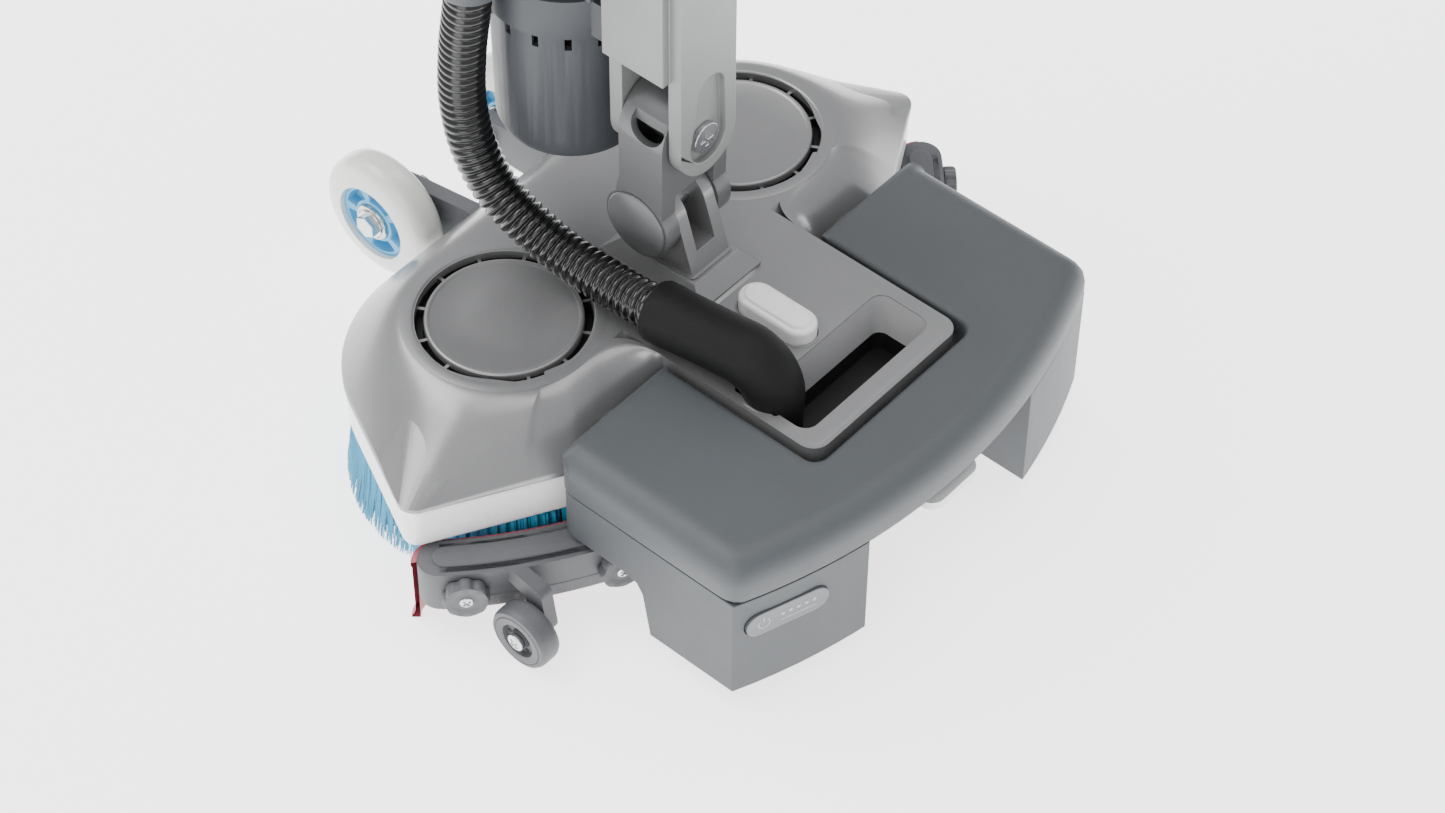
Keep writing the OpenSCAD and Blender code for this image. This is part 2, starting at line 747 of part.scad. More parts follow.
module squeegee_frame() {
    color(dark_grey) difference() {
        union() {
            difference() {
                union() {
                    bar_arc([bar_r - bar_half, bar_r + bar_half], [bar_low, bar_h], bar_angle);
                    mirror_x() rod_z(bar_half - 0.15, [bar_low, bar_h - 0.1], end_x, end_y, 64);
                }
                bar_arc([bar_r - bar_half + bar_wall, bar_r + bar_half - bar_wall],
                    [bar_low - 1, bar_h - bar_wall], bar_angle - 1.5);
            }
            slab([-20, 20], [bar_y - bar_r + bar_half - 4, link_y], [bar_h - 2, bar_h + 2]);
            rod_x(link_r, [-20, 20], link_y, link_z, 48);
            rod_z(collar_r, [bar_h - 3, tray_low - 6], collar_x, collar_y, 64);
            mirror_x() roller_arm();
        }
        rod_x(link_pin_r, [-21, 21], link_y, link_z, 48);
        rod_z(collar_r - 2, [bar_low, tray_low], collar_x, collar_y, 64);
        mirror_x() rod_x(roller_pin_r, [arm_x - 11, roller_x], roller_y, roller_r, 48);
        mirror_x() for (a = knob_angles) translate([0, bar_y, knob_z]) rotate([0, 0, a])
            rod_y(knob_pin_r + run_gap, [-bar_r - bar_half - 1, -bar_r - bar_half + 4], 0, 0, 48);
    }
}

module roller_arm() {
    low_y = bar_y - sqrt(pow(bar_r + bar_half - 1, 2) - pow(arm_x, 2));
    hull() {
        slab([arm_x - 8, arm_x], [low_y - 6, low_y], [bar_h - 9, bar_h]);
        rod_x(6, [arm_x - 8, arm_x], roller_y + 2, bar_h - 8, 32);
    }
    hull() {
        rod_x(6, [arm_x - 8, arm_x], roller_y + 2, bar_h - 8, 32);
        rod_x(7, [arm_x - 8, arm_x], roller_y, roller_r, 32);
    }
}

module end_wrap(r, z) {                          // from the front face round to the bar's tip
    mirror_x() translate([end_x, end_y, z[0]]) rotate([0, 0, bar_angle])
        rotate_extrude(angle = 90, $fn = 64)
            translate([r[0], 0]) square([r[1] - r[0], z[1] - z[0]]);
}

module squeegee_blades() {
    front = bar_r - bar_half - 0.05;
    rear = bar_r - bar_half + bar_wall + 0.2;
    blade_top = bar_h - 2.2;
    color(blade_red) {
        bar_arc([front - blade_t, front], [0, blade_top], bar_angle);
        end_wrap([bar_half + 0.05, bar_half + 0.05 + blade_t], [0, blade_top]);
        bar_arc([front - blade_t - 1.5, front - 1], [0, 2.5], bar_angle);
        bar_arc([rear, rear + blade_t - 1], [0, bar_h - 10], bar_angle - 2);
    }
}

module knob(a) {                                 // clamping knob at angle a round the bar
    face = bar_r + bar_half;
    color(dark_grey) translate([0, bar_y, knob_z]) rotate([0, 0, a]) {
        difference() {
            rod_y(knob_r, [-face - knob_t - 0.4, -face - 0.4], 0, 0);
            for (n = [0 : 45 : 315]) rotate([0, n, 0])
                rod_y(2.4, [-face - knob_t - 1, -face], knob_r + 1, 0, 24);
        }
        rod_y(knob_pin_r, [-face - 0.5, -face + bar_wall], 0, 0, 48);
        rod_y(3.5, [-face - knob_t - 1.6, -face - knob_t], 0, 0, 32);
    }
}

module left_outer_knob() { knob(-knob_angles[0]); }
module left_inner_knob() { knob(-knob_angles[1]); }
module right_inner_knob() { knob(knob_angles[1]); }
module right_outer_knob() { knob(knob_angles[0]); }

module roller(s) {
    color(dark_grey) translate([s * roller_x, roller_y, roller_r]) rotate([0, s * 90, 0])
        rotate_extrude($fn = round_fn) polygon([
            [roller_pin_r + run_gap, -roller_w / 2], [10, -roller_w / 2], [15, -roller_w / 2],
            [roller_r - 1, -roller_w / 2 + 2], [roller_r, -roller_w / 2 + 4],
            [roller_r, roller_w / 2 - 4], [roller_r - 1, roller_w / 2 - 2], [15, roller_w / 2],
            [10.5, roller_w / 2], [9.5, roller_w / 2 - 3], [6, roller_w / 2 - 3],
            [5.5, roller_w / 2 - 1], [roller_pin_r + run_gap, roller_w / 2 - 1]]);
}

module left_roller() { roller(-1); }
module right_roller() { roller(1); }

module roller_screws() {
    color(steel) mirror_x() {
        rod_x(roller_pin_r, [arm_x - 10, roller_x + roller_w / 2 - 0.8], roller_y, roller_r, 48);
        rod_x(5, [roller_x + roller_w / 2 - 0.8, roller_x + roller_w / 2 + 1.5], roller_y,
            roller_r, 48);
    }
    color(steel) rod_x(link_pin_r, [-28, 28], link_y, link_z, 48);
}

// ---- battery ----

function back_y(x) = bat_arc_y - sqrt(pow(bat_back_r, 2) - pow(x, 2));

module battery_plan(low, high, inset) {          // outline with the curved back, as a slab
    r = 12;
    front_x = bat_half - r;
    side = [for (x = [-bat_half + inset : (2 * bat_half - 2 * inset) / 24 : bat_half - inset + eps])
        [x, back_y(x) + inset]];
    translate([0, 0, low]) linear_extrude(high - low) polygon(concat(side, [
        for (a = [0 : 15 : 90]) [front_x + (r - inset) * cos(a),
            bat_front - r + (r - inset) * sin(a)]], [
        for (a = [90 : 15 : 180]) [-front_x + (r - inset) * cos(a),
            bat_front - r + (r - inset) * sin(a)]]));
}

module tail_slot(low, high, grow) {              // the slot that takes the deck's tail
    r = 8;
    hull() for (s = [-1, 1]) {
        rod_z(r, [low, high], s * (bat_in + grow - r), slot_back - grow + r, hull_fn);
        rod_z(r, [low, high], s * (bat_in + grow - r), bat_front + 30, hull_fn);
    }
}

module side_profile(grow) {                      // legs and arms seen from the side, along X
    rotate([90, 0, 90]) translate([0, 0, -bat_half - 5]) linear_extrude(2 * bat_half + 10)
        offset(delta = -grow) polygon([[bat_front + 20, bat_seam + 20], [bat_front + 20, arm_low],
            [leg_front + 14, arm_low], [leg_front + 6, arm_low - 2], [leg_front + 2, arm_low - 8],
            [leg_front, arm_low - 20], [leg_front - 3, leg_low], [-bat_back - 40, leg_low],
            [-bat_back - 40, bat_seam + 20]]);
}

module battery_top() {
    color(slate) difference() {
        hull() {
            battery_plan(bat_seam, bat_top - 14, 0);
            battery_plan(bat_top - 5, bat_top - 4, 4);
            battery_plan(bat_top - 1, bat_top, 13);
        }
        tail_slot(bat_seam - 1, bat_top + 1, 0);
        difference() {                           // hollow arms, solid bridge rim
            battery_plan(bat_seam - 1, bat_top - 6, 7);
            tail_slot(bat_seam - 2, bat_top, 6);
            slab([-bat_half, bat_half], [slot_back - 46, slot_back - 10], [bat_top - 12, bat_top]);
        }
        mirror_x() slab([bat_in - 1, bat_in + 5.8], [-tail_back - 5, bat_front + 5],
            [rail_z - 0.5, rail_z + rail_t + 0.5]);
    }
}

module battery_case() {
    color(slate) {
        difference() {
            intersection() {
                battery_plan(leg_low, bat_seam - 0.4, 0.6);
                side_profile(0);
                mirror_x() slab([leg_in, bat_half + 1], [-bat_back - 50, bat_front + 5],
                    [leg_low - 1, bat_seam]);
            }
            intersection() {
                battery_plan(leg_low + bat_wall, bat_seam + 1, bat_wall + 0.6);
                side_profile(bat_wall);
                mirror_x() slab([leg_in + bat_wall, bat_half], [-bat_back - 50, bat_front + 5],
                    [leg_low, bat_seam + 1]);
            }
            gauge_hole(0.3);
        }
        difference() {                           // floor plate under the bridge
            battery_plan(bat_seam - 4, bat_seam - 0.4, 3);
            tail_slot(bat_seam - 5, bat_seam, 1);
            mirror_x() slab([leg_in + 1, bat_half + 1], [-bat_back - 50, bat_front + 5],
                [bat_seam - 5, bat_seam]);
        }
    }
}

module gauge_at() {                              // frame of the gauge: +Y out of the back face
    y = back_y(gauge_x) + 0.6;
    turn = asin(gauge_x / bat_back_r);
    translate([gauge_x, y, gauge_z]) rotate([0, 0, 180 + turn]) children();
}

module gauge_hole(gap) {
    gauge_at() hull() for (x = [-1, 1])
        rod_y(8 + gap, [-2, 5], x * (gauge_half - 8), 0, hull_fn);
}

module battery_gauge() {
    color(dark_grey) gauge_at() hull() for (x = [-1, 1])
        rod_y(8, [-1.6, 0.4], x * (gauge_half - 8), 0, hull_fn);
}

module battery_cells() {                         // nine round cells in each leg
    pitch = 21;
    color(steel) mirror_x() for (i = [0 : 2], j = [0 : 2])
        rod_z(cell_r, [leg_low + bat_wall + 0.5, leg_low + bat_wall + 0.5 + cell_h],
            leg_in + 14 + pitch * i, leg_front - 15 - 19 * j, 32);
}

// ---- universal joint ----

module yoke() {
    half = yoke_half;
    color(silver) difference() {
        union() {
            mirror_x() {
                rod_x(boss_r, [half - cheek_t, half], 0, pitch_z);
                hull() {                         // cheek from the boss to the body
                    rod_x(17, [half - cheek_t, half], 0, pitch_z + 3, 48);
                    slab([half - cheek_t, half], [yoke_back, yoke_front],
                        [pitch_z + 26, pitch_z + 28]);
                }
            }
            slab([-half, half], [yoke_back, yoke_front], [pitch_z + 24, roll_z]);
            rod_y(half, [yoke_back, yoke_front], 0, roll_z);
        }
        rod_y(half - 4, [yoke_back + 4, yoke_front - 4], 0, roll_z);
        for (s = [-1, 1]) rod_x(11, s > 0 ? [half - 6, half + 2] : [-half - 2, -half + 6],
            yoke_mid - 3, roll_z + 12, 48);
        rod_y(roll_bolt_r + run_gap, [yoke_back - 1, yoke_front + 1], 0, roll_z);
        rod_x(pin_r + run_gap, [-half - 1, half + 1], 0, pitch_z);
    }
    color(silver) difference() {                 // barrel round the roll bolt
        rod_y(roll_bolt_r + 5, [yoke_back + 3.5, yoke_front - 3.5], 0, roll_z);
        rod_y(roll_bolt_r + run_gap, [yoke_back, yoke_front], 0, roll_z);
    }
}

module yoke_caps() {
    color(slate) mirror_x() rotate([0, 90, 0]) translate([-pitch_z, 0, yoke_half - 1])
        rotate_extrude($fn = round_fn) polygon([[0, 1], [boss_r - 1.5, 1],
            [boss_r - 1.5, 1.8], [boss_r - 2.3, 2.4], [0, 2.8]]);
}

module roll_bolt() {
    head_y = -col_back + 4;
    color(steel) difference() {
        union() {
            rod_y(roll_bolt_r, [head_y, col_front - 1], 0, roll_z, 64);
            rod_y(roll_bolt_r + 3, [head_y - 3, head_y], 0, roll_z, 64);
            rod_y(roll_bolt_r + 3.5, [fork_front + 8.5, fork_front + 12.5], 0, roll_z, 6);
        }
        for (a = [0, 90]) translate([0, 0, roll_z]) rotate([0, a, 0])
            slab([-4.4, 4.4], [head_y - 4, head_y - 1], [-0.9, 0.9]);
    }
}

// ---- column ----

module arm_plate(y, top) {                       // plate with a round lower end at the roll axis
    rod_y(col_half, y, 0, roll_z);
    slab([-col_half, col_half], y, [roll_z, top]);
}

module lower_column() {
    head_y = -col_back + 4;
    color(light_grey) difference() {
        union() {
            arm_plate([-col_back, -col_back + arm_t], splice_z);
            arm_plate([fork_front, col_front], fork_top + 2);
            slab([-web_half, web_half], [-col_back + arm_t - 1, col_front], [fork_top, splice_z]);
            slab([-20, 20], [col_front - 1, can_y - can_r - 1], [collar_low + 3, splice_z - 8]);
        }
        slab([-web_half + 3, web_half - 3], [-col_back + arm_t + 2, col_front - 3],
            [fork_top - 1, splice_z - 12]);
        hull() {                                 // screw pocket in the rear arm
            rod_y(13.5, [-col_back - 1, head_y], 0, roll_z, hull_fn);
            rod_y(10, [-col_back - 1, head_y], 2, roll_z + 32, hull_fn);
        }
        rod_y(roll_bolt_r, [-col_back - 1, fork_front + 8.5], 0, roll_z);
        rod_y(roll_bolt_r + 4.5, [fork_front + 5, col_front + 1], 0, roll_z, 48);
    }
}

module upper_column() {
    color(light_grey) difference() {
        hull() for (x = [-1, 1], y = [-col_back + 8, col_front - 8])
            rod_z(8, [splice_z, col_top], x * (col_half + 3 - 8), y, hull_fn);
        hull() for (x = [-1, 1], y = [-col_back + 8, col_front - 8])
            rod_z(5, [splice_z - 1, col_top - 12], x * (col_half + 3 - 8), y, hull_fn);
        rod_z(tube_r, [col_top - 60, col_top + 1], 0, (col_front - col_back) / 2);
    }
    color(light_grey) difference() {             // socket for the handle tube
        rod_z(tube_r + 3, [col_top - 60, col_top + 14], 0, (col_front - col_back) / 2);
        rod_z(tube_r, [col_top - 61, col_top + 15], 0, (col_front - col_back) / 2);
    }
}

module motor_housing() {
    taper = 0.8;
    wall = 2.5;
    collar_r = can_r + 3.5;
    color(slate) translate([0, can_y, 0]) difference() {
        union() {
            rotate_extrude($fn = round_fn) polygon([[0, can_low], [can_r - 6, can_low],
                [can_r - 2.5, can_low + 1.5], [can_r - taper, can_low + 6],
                [can_r, collar_low], [collar_r, collar_low + 1.5],
                [collar_r, collar_low + collar_h], [0, collar_low + collar_h]]);
            slab([-24, 24], [-can_y + col_front, -can_r + 12],
                [collar_low + 3, collar_low + collar_h]);
        }
        rod_z(can_r - wall, [can_low + wall, collar_low + collar_h - 3], 0, 0);
        slab([-20.2, 20.2], [-can_y + col_front - 1, -can_r - 0.8],
            [collar_low, collar_low + collar_h + 1]);
        for (a = [150 : 24 : 390]) rotate([0, 0, a])
            slab([can_r - 5, can_r + 1.2], [-1.8, 1.8], [collar_low - 9, collar_low + 2]);
        rod_z(12, [collar_low, collar_low + collar_h + 1], 0, 0);
    }
}

module suction_motor() {
    color(dark_grey) translate([0, can_y, 0]) {
        rod_z(can_r - 9, [can_low + 12, can_low + 62], 0, 0);
        rod_z(can_r - 4, [can_low + 61, can_low + 76], 0, 0);
        rod_z(5, [can_low + 2.5, can_low + 13], 0, 0, 32);
    }
}

function hose_points() = route(hose_line, hose_line[1] - hose_line[0], hose_end_up, hose_steps);

module hose_lower() {
    color(black) swept_tube(hose_points(), 0, hose_split * hose_steps, hose_r, 16);
}

module hose_upper() {
    p = hose_points();
    first = hose_split * hose_steps;
    cut = p[first] + 0.05 * (p[first + 1] - p[first]);    // stands just clear of the lower half
    q = [for (i = [0 : len(p) - 1]) i == first ? cut : p[i]];
    color(black) swept_tube(q, first, len(q) - 1, hose_r, 16);
}

module hose_clip() {
    clip_gap = 1.5;                              // the hose leans a little where it's held
    clip_at = [-57.6, 79.2];
    z = 300;
    color(slate) difference() {
        union() {
            rod_z(hose_r + 4.5, [z - 12, z + 12], clip_at.x, clip_at.y);
            slab([-50, -18], [73, 84], [z - 12, z + 6]);
            slab([-26, 26], [can_y - can_r + 2, 84], [collar_low + collar_h, z - 6]);
        }
        rod_z(hose_r + clip_gap, [z - 13, z + 13], clip_at.x, clip_at.y);
        slab([-72, -57.5], [74, 100], [z - 13, z + 13]);
    }
}

// ---- tanks ----

module tank_solid(half, deep, z, r, inset) {
    hull() for (s = [-1, 1]) {
        rod_z(r - inset, [z[0] + 22, z[1]], s * (half - r), tank_y + r, hull_fn);
        rod_z(r - inset, [z[0] + 22, z[1]], s * (half - r), tank_y + deep - r, hull_fn);
        rod_z(r - inset - 4, [z[0], z[0] + 1], s * (half - r), tank_y + r, hull_fn);
        rod_z(r - inset - 4, [z[0], z[0] + 1], s * (half - r), tank_y + deep - r - 12, hull_fn);
    }
}

module recovery_tank() {
    z = [dirty_low, dirty_low + dirty_h];
    color(slate) difference() {
        tank_solid(dirty_half, dirty_depth, z, 24, 0);
        tank_solid(dirty_half, dirty_depth, [z[0] + tank_wall, z[1] + 1], 24, tank_wall);
        rod_z(hose_r + 3, [z[0] - 1, z[0] + 10], inlet_x, inlet_y);
    }
    color(slate) difference() {                  // inlet pipe of the suction hose
        rod_z(hose_r + 3, [z[0] - 14, z[1] - 40], inlet_x, inlet_y);
        rod_z(hose_r, [z[0] - 15, z[1] - 39], inlet_x, inlet_y);
    }
}

module recovery_lid() {
    z = dirty_low + dirty_h;
    color(light_grey) difference() {
        hull() for (s = [-1, 1], y = [tank_y + 24, tank_y + dirty_depth - 24]) {
            rod_z(25, [z + 0.3, z + 8], s * (dirty_half - 24), y, hull_fn);
            rod_z(14, [z + 14, z + 18], s * (dirty_half - 28), y, hull_fn);
        }
        hull() for (s = [-1, 1], y = [tank_y + 24, tank_y + dirty_depth - 24])
            rod_z(18, [z - 1, z + 9], s * (dirty_half - 26), y, hull_fn);
    }
    color(light_grey) difference() {             // lip that seats inside the tank
        hull() for (s = [-1, 1], y = [tank_y + 24, tank_y + dirty_depth - 24])
            rod_z(20.5, [z - 8, z + 1], s * (dirty_half - 24), y, hull_fn);
        hull() for (s = [-1, 1], y = [tank_y + 24, tank_y + dirty_depth - 24])
            rod_z(18, [z - 9, z + 2], s * (dirty_half - 24), y, hull_fn);
    }
}

module float_valve() {
    z = dirty_low + dirty_h;
    y = tank_y + dirty_depth / 2;
    color(off_white) {
        rod_z(22, [z - 3, z + 8.8], 20, y, 48);
        for (a = [0 : 60 : 300]) translate([20, y, 0]) rotate([0, 0, a])
            slab([15, 19], [-1.5, 1.5], [z - 62, z - 2]);
        rod_z(19, [z - 66, z - 62], 20, y, 48);
    }
}

module float_ball() {
    z = dirty_low + dirty_h;
    y = tank_y + dirty_depth / 2;
    color(hub_blue) translate([20, y, z - 50]) sphere(r = 11.5, $fn = 48);
}

module solution_tank() {
    z = [clean_low, clean_low + clean_h];
    y = tank_y + clean_depth / 2;
    color(off_white) difference() {
        union() {
            tank_solid(clean_half, clean_depth, z, 22, 0);
            rod_z(neck_r, [z[1] - 1, z[1] + 16], 0, y);
        }
        tank_solid(clean_half, clean_depth, [z[0] + tank_wall, z[1] - tank_wall], 22, tank_wall);
        rod_z(neck_r - tank_wall, [z[1] - 10, z[1] + 17], 0, y);
    }
}

module filler_cap() {
    z = clean_low + clean_h;
    y = tank_y + clean_depth / 2;
    color(hub_blue) difference() {
        rod_z(neck_r + 4, [z + 3, z + 20], 0, y);
        rod_z(neck_r + 0.4, [z + 2, z + 16.4], 0, y);
        for (a = [0 : 20 : 340]) translate([0, y, 0]) rotate([0, 0, a])
            rod_z(1.6, [z + 2, z + 21], neck_r + 4.6, 0, 16);
    }
}

module tank_shelves() {
    color(dark_grey) for (t = [[dirty_low, dirty_half, dirty_depth],
        [clean_low, clean_half, clean_depth]])
        difference() {
            union() {
                slab([-t[1] + 30, t[1] - 30], [col_front, tank_y + t[2] - 40],
                    [t[0] - shelf_t - 0.3, t[0] - 0.3]);
                slab([-18, 18], [col_front, tank_y - 0.5], [t[0] - 30, t[0] + 60]);
                hull() {
                    slab([-3, 3], [col_front, tank_y - 0.5], [t[0] - 30, t[0] - 4]);
                    slab([-3, 3], [col_front, tank_y + 50], [t[0] - 6, t[0] - 4]);
                }
            }
            slab([inlet_x - hose_r - 5, inlet_x + hose_r + 5], [inlet_y - hose_r - 5, tank_y + t[2]],
                [t[0] - 10, t[0] + 10]);
        }
}

// ---- handle ----

module handle_tube() {
    color(light_grey) difference() {
        rod_z(tube_r, [col_top - 50, grip_z - 20], 0, handle_y);
        rod_z(tube_r - 2, [col_top - 51, grip_z - 19], 0, handle_y);
    }
}

module handle_head() {
    color(slate) difference() {
        union() {
            hull() for (s = [-1, 1]) {
                rod_y(26, [handle_y - 26, handle_y + 22], s * 26, grip_z, 48);
                rod_y(20, [handle_y - 30, handle_y + 26], s * 24, grip_z, 48);
            }
            rod_x(10, [-grip_half + 6, grip_half - 6], handle_y, grip_z, 48);
            rod_z(tube_r + 4, [grip_z - 62, grip_z - 10], 0, handle_y);
        }
        rod_z(tube_r, [grip_z - 63, grip_z - 20], 0, handle_y);
        rod_z(power_r + 0.4, [grip_z + 19, grip_z + 30], 0, handle_y, 48);
        slab([-9.5, 9.5], [handle_y - 40, handle_y - 19], [grip_z - 27, grip_z + 8]);
    }
    color(steel) rod_x(2, [-12, 12], handle_y - 27, grip_z, 32);
}

module grips() {
    color(black) mirror_x() difference() {
        union() {
            rod_x(grip_r, [64, grip_half], handle_y, grip_z, 64);
            rod_x(grip_r + 2.5, [60, 65], handle_y, grip_z, 64);
            for (i = [0 : 9]) rod_x(grip_r + 0.8, [74 + 10 * i, 79 + 10 * i], handle_y, grip_z, 64);
        }
        rod_x(10, [50, grip_half - 6], handle_y, grip_z, 48);
    }
}

module trigger() {
    color(hub_blue) difference() {
        union() {
            hull() {
                rod_x(5, [-9, 9], handle_y - 27, grip_z + 0, 32);
                slab([-9, 9], [handle_y - 40, handle_y - 36], [grip_z - 30, grip_z - 28]);
            }
        }
        rod_x(2 + run_gap, [-10, 10], handle_y - 27, grip_z, 32);
    }
}

module power_button() {
    color(hub_blue) rod_z(power_r, [grip_z + 22, grip_z + 28.5], 0, handle_y, 48);
}

// ---- output ----

deck_cover();
skirt();
chassis();
motor_caps();
vent_rings();
brush_motors();
pivot_bracket();
pitch_pin();
deck_button();
button_spring();
recess_tray();
suction_elbow();
foot_pedal();
wheel_brackets();
wheel_bolts();
left_tyre();
left_wheel_core();
left_bearings();
right_tyre();
right_wheel_core();
right_bearings();
left_brush_plate();
left_bristles();
right_brush_plate();
right_bristles();
squeegee_frame();
squeegee_blades();
left_outer_knob();
left_inner_knob();
right_inner_knob();
right_outer_knob();
left_roller();
right_roller();
roller_screws();
battery_top();
battery_case();
battery_cells();
battery_gauge();
yoke();
yoke_caps();
roll_bolt();
lower_column();
upper_column();
motor_housing();
suction_motor();
hose_lower();
hose_upper();
hose_clip();
recovery_tank();
recovery_lid();
float_valve();
float_ball();
solution_tank();
filler_cap();
tank_shelves();
handle_tube();
handle_head();
grips();
trigger();
power_button();
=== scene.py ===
import math
import bmesh
import bpy
import numpy as np
from mathutils import Matrix, Vector


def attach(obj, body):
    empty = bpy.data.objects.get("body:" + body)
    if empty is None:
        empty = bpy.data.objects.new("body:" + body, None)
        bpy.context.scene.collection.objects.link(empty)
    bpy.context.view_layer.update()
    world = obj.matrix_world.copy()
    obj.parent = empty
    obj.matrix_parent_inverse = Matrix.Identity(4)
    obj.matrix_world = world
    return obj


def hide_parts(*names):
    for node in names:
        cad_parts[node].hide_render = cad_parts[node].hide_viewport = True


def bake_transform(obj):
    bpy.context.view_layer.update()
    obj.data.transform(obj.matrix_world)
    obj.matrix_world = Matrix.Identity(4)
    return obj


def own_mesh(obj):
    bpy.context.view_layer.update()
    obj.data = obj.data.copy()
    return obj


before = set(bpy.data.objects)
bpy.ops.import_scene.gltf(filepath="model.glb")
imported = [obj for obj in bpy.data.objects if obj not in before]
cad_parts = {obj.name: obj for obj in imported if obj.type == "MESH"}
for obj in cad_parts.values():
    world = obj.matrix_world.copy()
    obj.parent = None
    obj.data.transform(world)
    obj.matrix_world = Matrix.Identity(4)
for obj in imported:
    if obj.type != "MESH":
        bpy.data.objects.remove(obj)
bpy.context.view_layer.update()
mm = 0.001


# ---- shader helpers ----

class Sock:
    # wraps a shader output so that sums and products read as maths
    def __init__(self, tree, out):
        self.tree, self.out = tree, out

    def maths(self, operation, *others, clamp=False):
        node = self.tree.nodes.new("ShaderNodeMath")
        node.operation = operation
        node.use_clamp = clamp
        plug(self.tree, node.inputs[0], self)
        for i, other in enumerate(others):
            plug(self.tree, node.inputs[i + 1], other)
        return Sock(self.tree, node.outputs[0])

    def __add__(self, other):
        return self.maths("ADD", other)

    def __mul__(self, other):
        return self.maths("MULTIPLY", other)

    def __sub__(self, other):
        return self.maths("SUBTRACT", other)

    def __rsub__(self, other):
        return (self * -1.0) + other

    __radd__ = __add__
    __rmul__ = __mul__

    def step(self, low, high):
        # 0 below low, 1 above high, straight between
        return ((self - low) * (1.0 / (high - low))).maths("ADD", 0.0, clamp=True)


def plug(tree, socket, value):
    if isinstance(value, Sock):
        tree.links.new(value.out, socket)
    elif isinstance(value, bpy.types.NodeSocket):
        tree.links.new(value, socket)
    else:
        socket.default_value = value


class Shader:
    def __init__(self, name):
        self.mat = bpy.data.materials.new(name)
        self.mat.use_nodes = True
        self.tree = self.mat.node_tree
        self.bsdf = self.tree.nodes["Principled BSDF"]
        self.coords = self.node("ShaderNodeTexCoord").outputs["Object"]

    def node(self, kind, settings=None, inputs=None):
        made = self.tree.nodes.new(kind)
        for key, value in (settings or {}).items():
            setattr(made, key, value)
        for key, value in (inputs or {}).items():
            plug(self.tree, made.inputs[key], value)
        return made

    def noise(self, scale, detail=3.0, rough=0.5, stretch=None):
        where = self.coords
        if stretch:
            where = self.node("ShaderNodeMapping", None, {"Vector": where, "Scale": stretch}).outputs[0]
        made = self.node("ShaderNodeTexNoise", None,
                         {"Vector": where, "Scale": scale, "Detail": detail, "Roughness": rough})
        return Sock(self.tree, made.outputs["Fac"])

    def mix(self, factor, a, b):
        made = self.node("ShaderNodeMix", {"data_type": "RGBA"})
        plug(self.tree, made.inputs["Factor"], factor)
        plug(self.tree, made.inputs[6], a)
        plug(self.tree, made.inputs[7], b)
        return made.outputs[2]

    def bump(self, height, distance):
        made = self.node("ShaderNodeBump", None, {"Height": height, "Distance": distance, "Strength": 1.0})
        plug(self.tree, self.bsdf.inputs["Normal"], made.outputs[0])


def rgba(c, k=1.0):
    return (min(c[0] * k, 1.0), min(c[1] * k, 1.0), min(c[2] * k, 1.0), 1.0)


def surface(name, color, rough=0.4, metal=0.0, coat=0.0, spread=0.06, swing=0.06, grain=900.0,
            depth=0.00003, stretch=None, flake=0.0, smudge=0.05, gloss=0.5):
    # color varies by +-spread in slow clouds, roughness by +-swing, with a fine grain of depth metres
    s = Shader(name)
    clouds = s.noise(14.0, 4.0)
    fine = s.noise(grain, 2.0, 0.6, stretch)
    base = s.mix(clouds.step(0.3, 0.7), rgba(color, 1.0 - spread), rgba(color, 1.0 + spread))
    if flake:
        specks = s.noise(2600.0, 1.0)
        base = s.mix(specks.step(0.55, 0.75) * flake, base, rgba(color, 1.7))
    if smudge:
        wear = s.noise(45.0, 6.0, 0.7)
        base = s.mix(wear.step(0.62, 0.8) * smudge, base, rgba(color, 1.5))
    plug(s.tree, s.bsdf.inputs["Base Color"], base)
    plug(s.tree, s.bsdf.inputs["Roughness"], s.noise(60.0, 5.0) * (2.0 * swing) + (rough - swing))
    s.bsdf.inputs["Metallic"].default_value = metal
    s.bsdf.inputs["Coat Weight"].default_value = coat
    s.bsdf.inputs["Coat Roughness"].default_value = 0.12
    s.bsdf.inputs["Specular IOR Level"].default_value = gloss
    s.bump(fine, depth)
    return s.mat


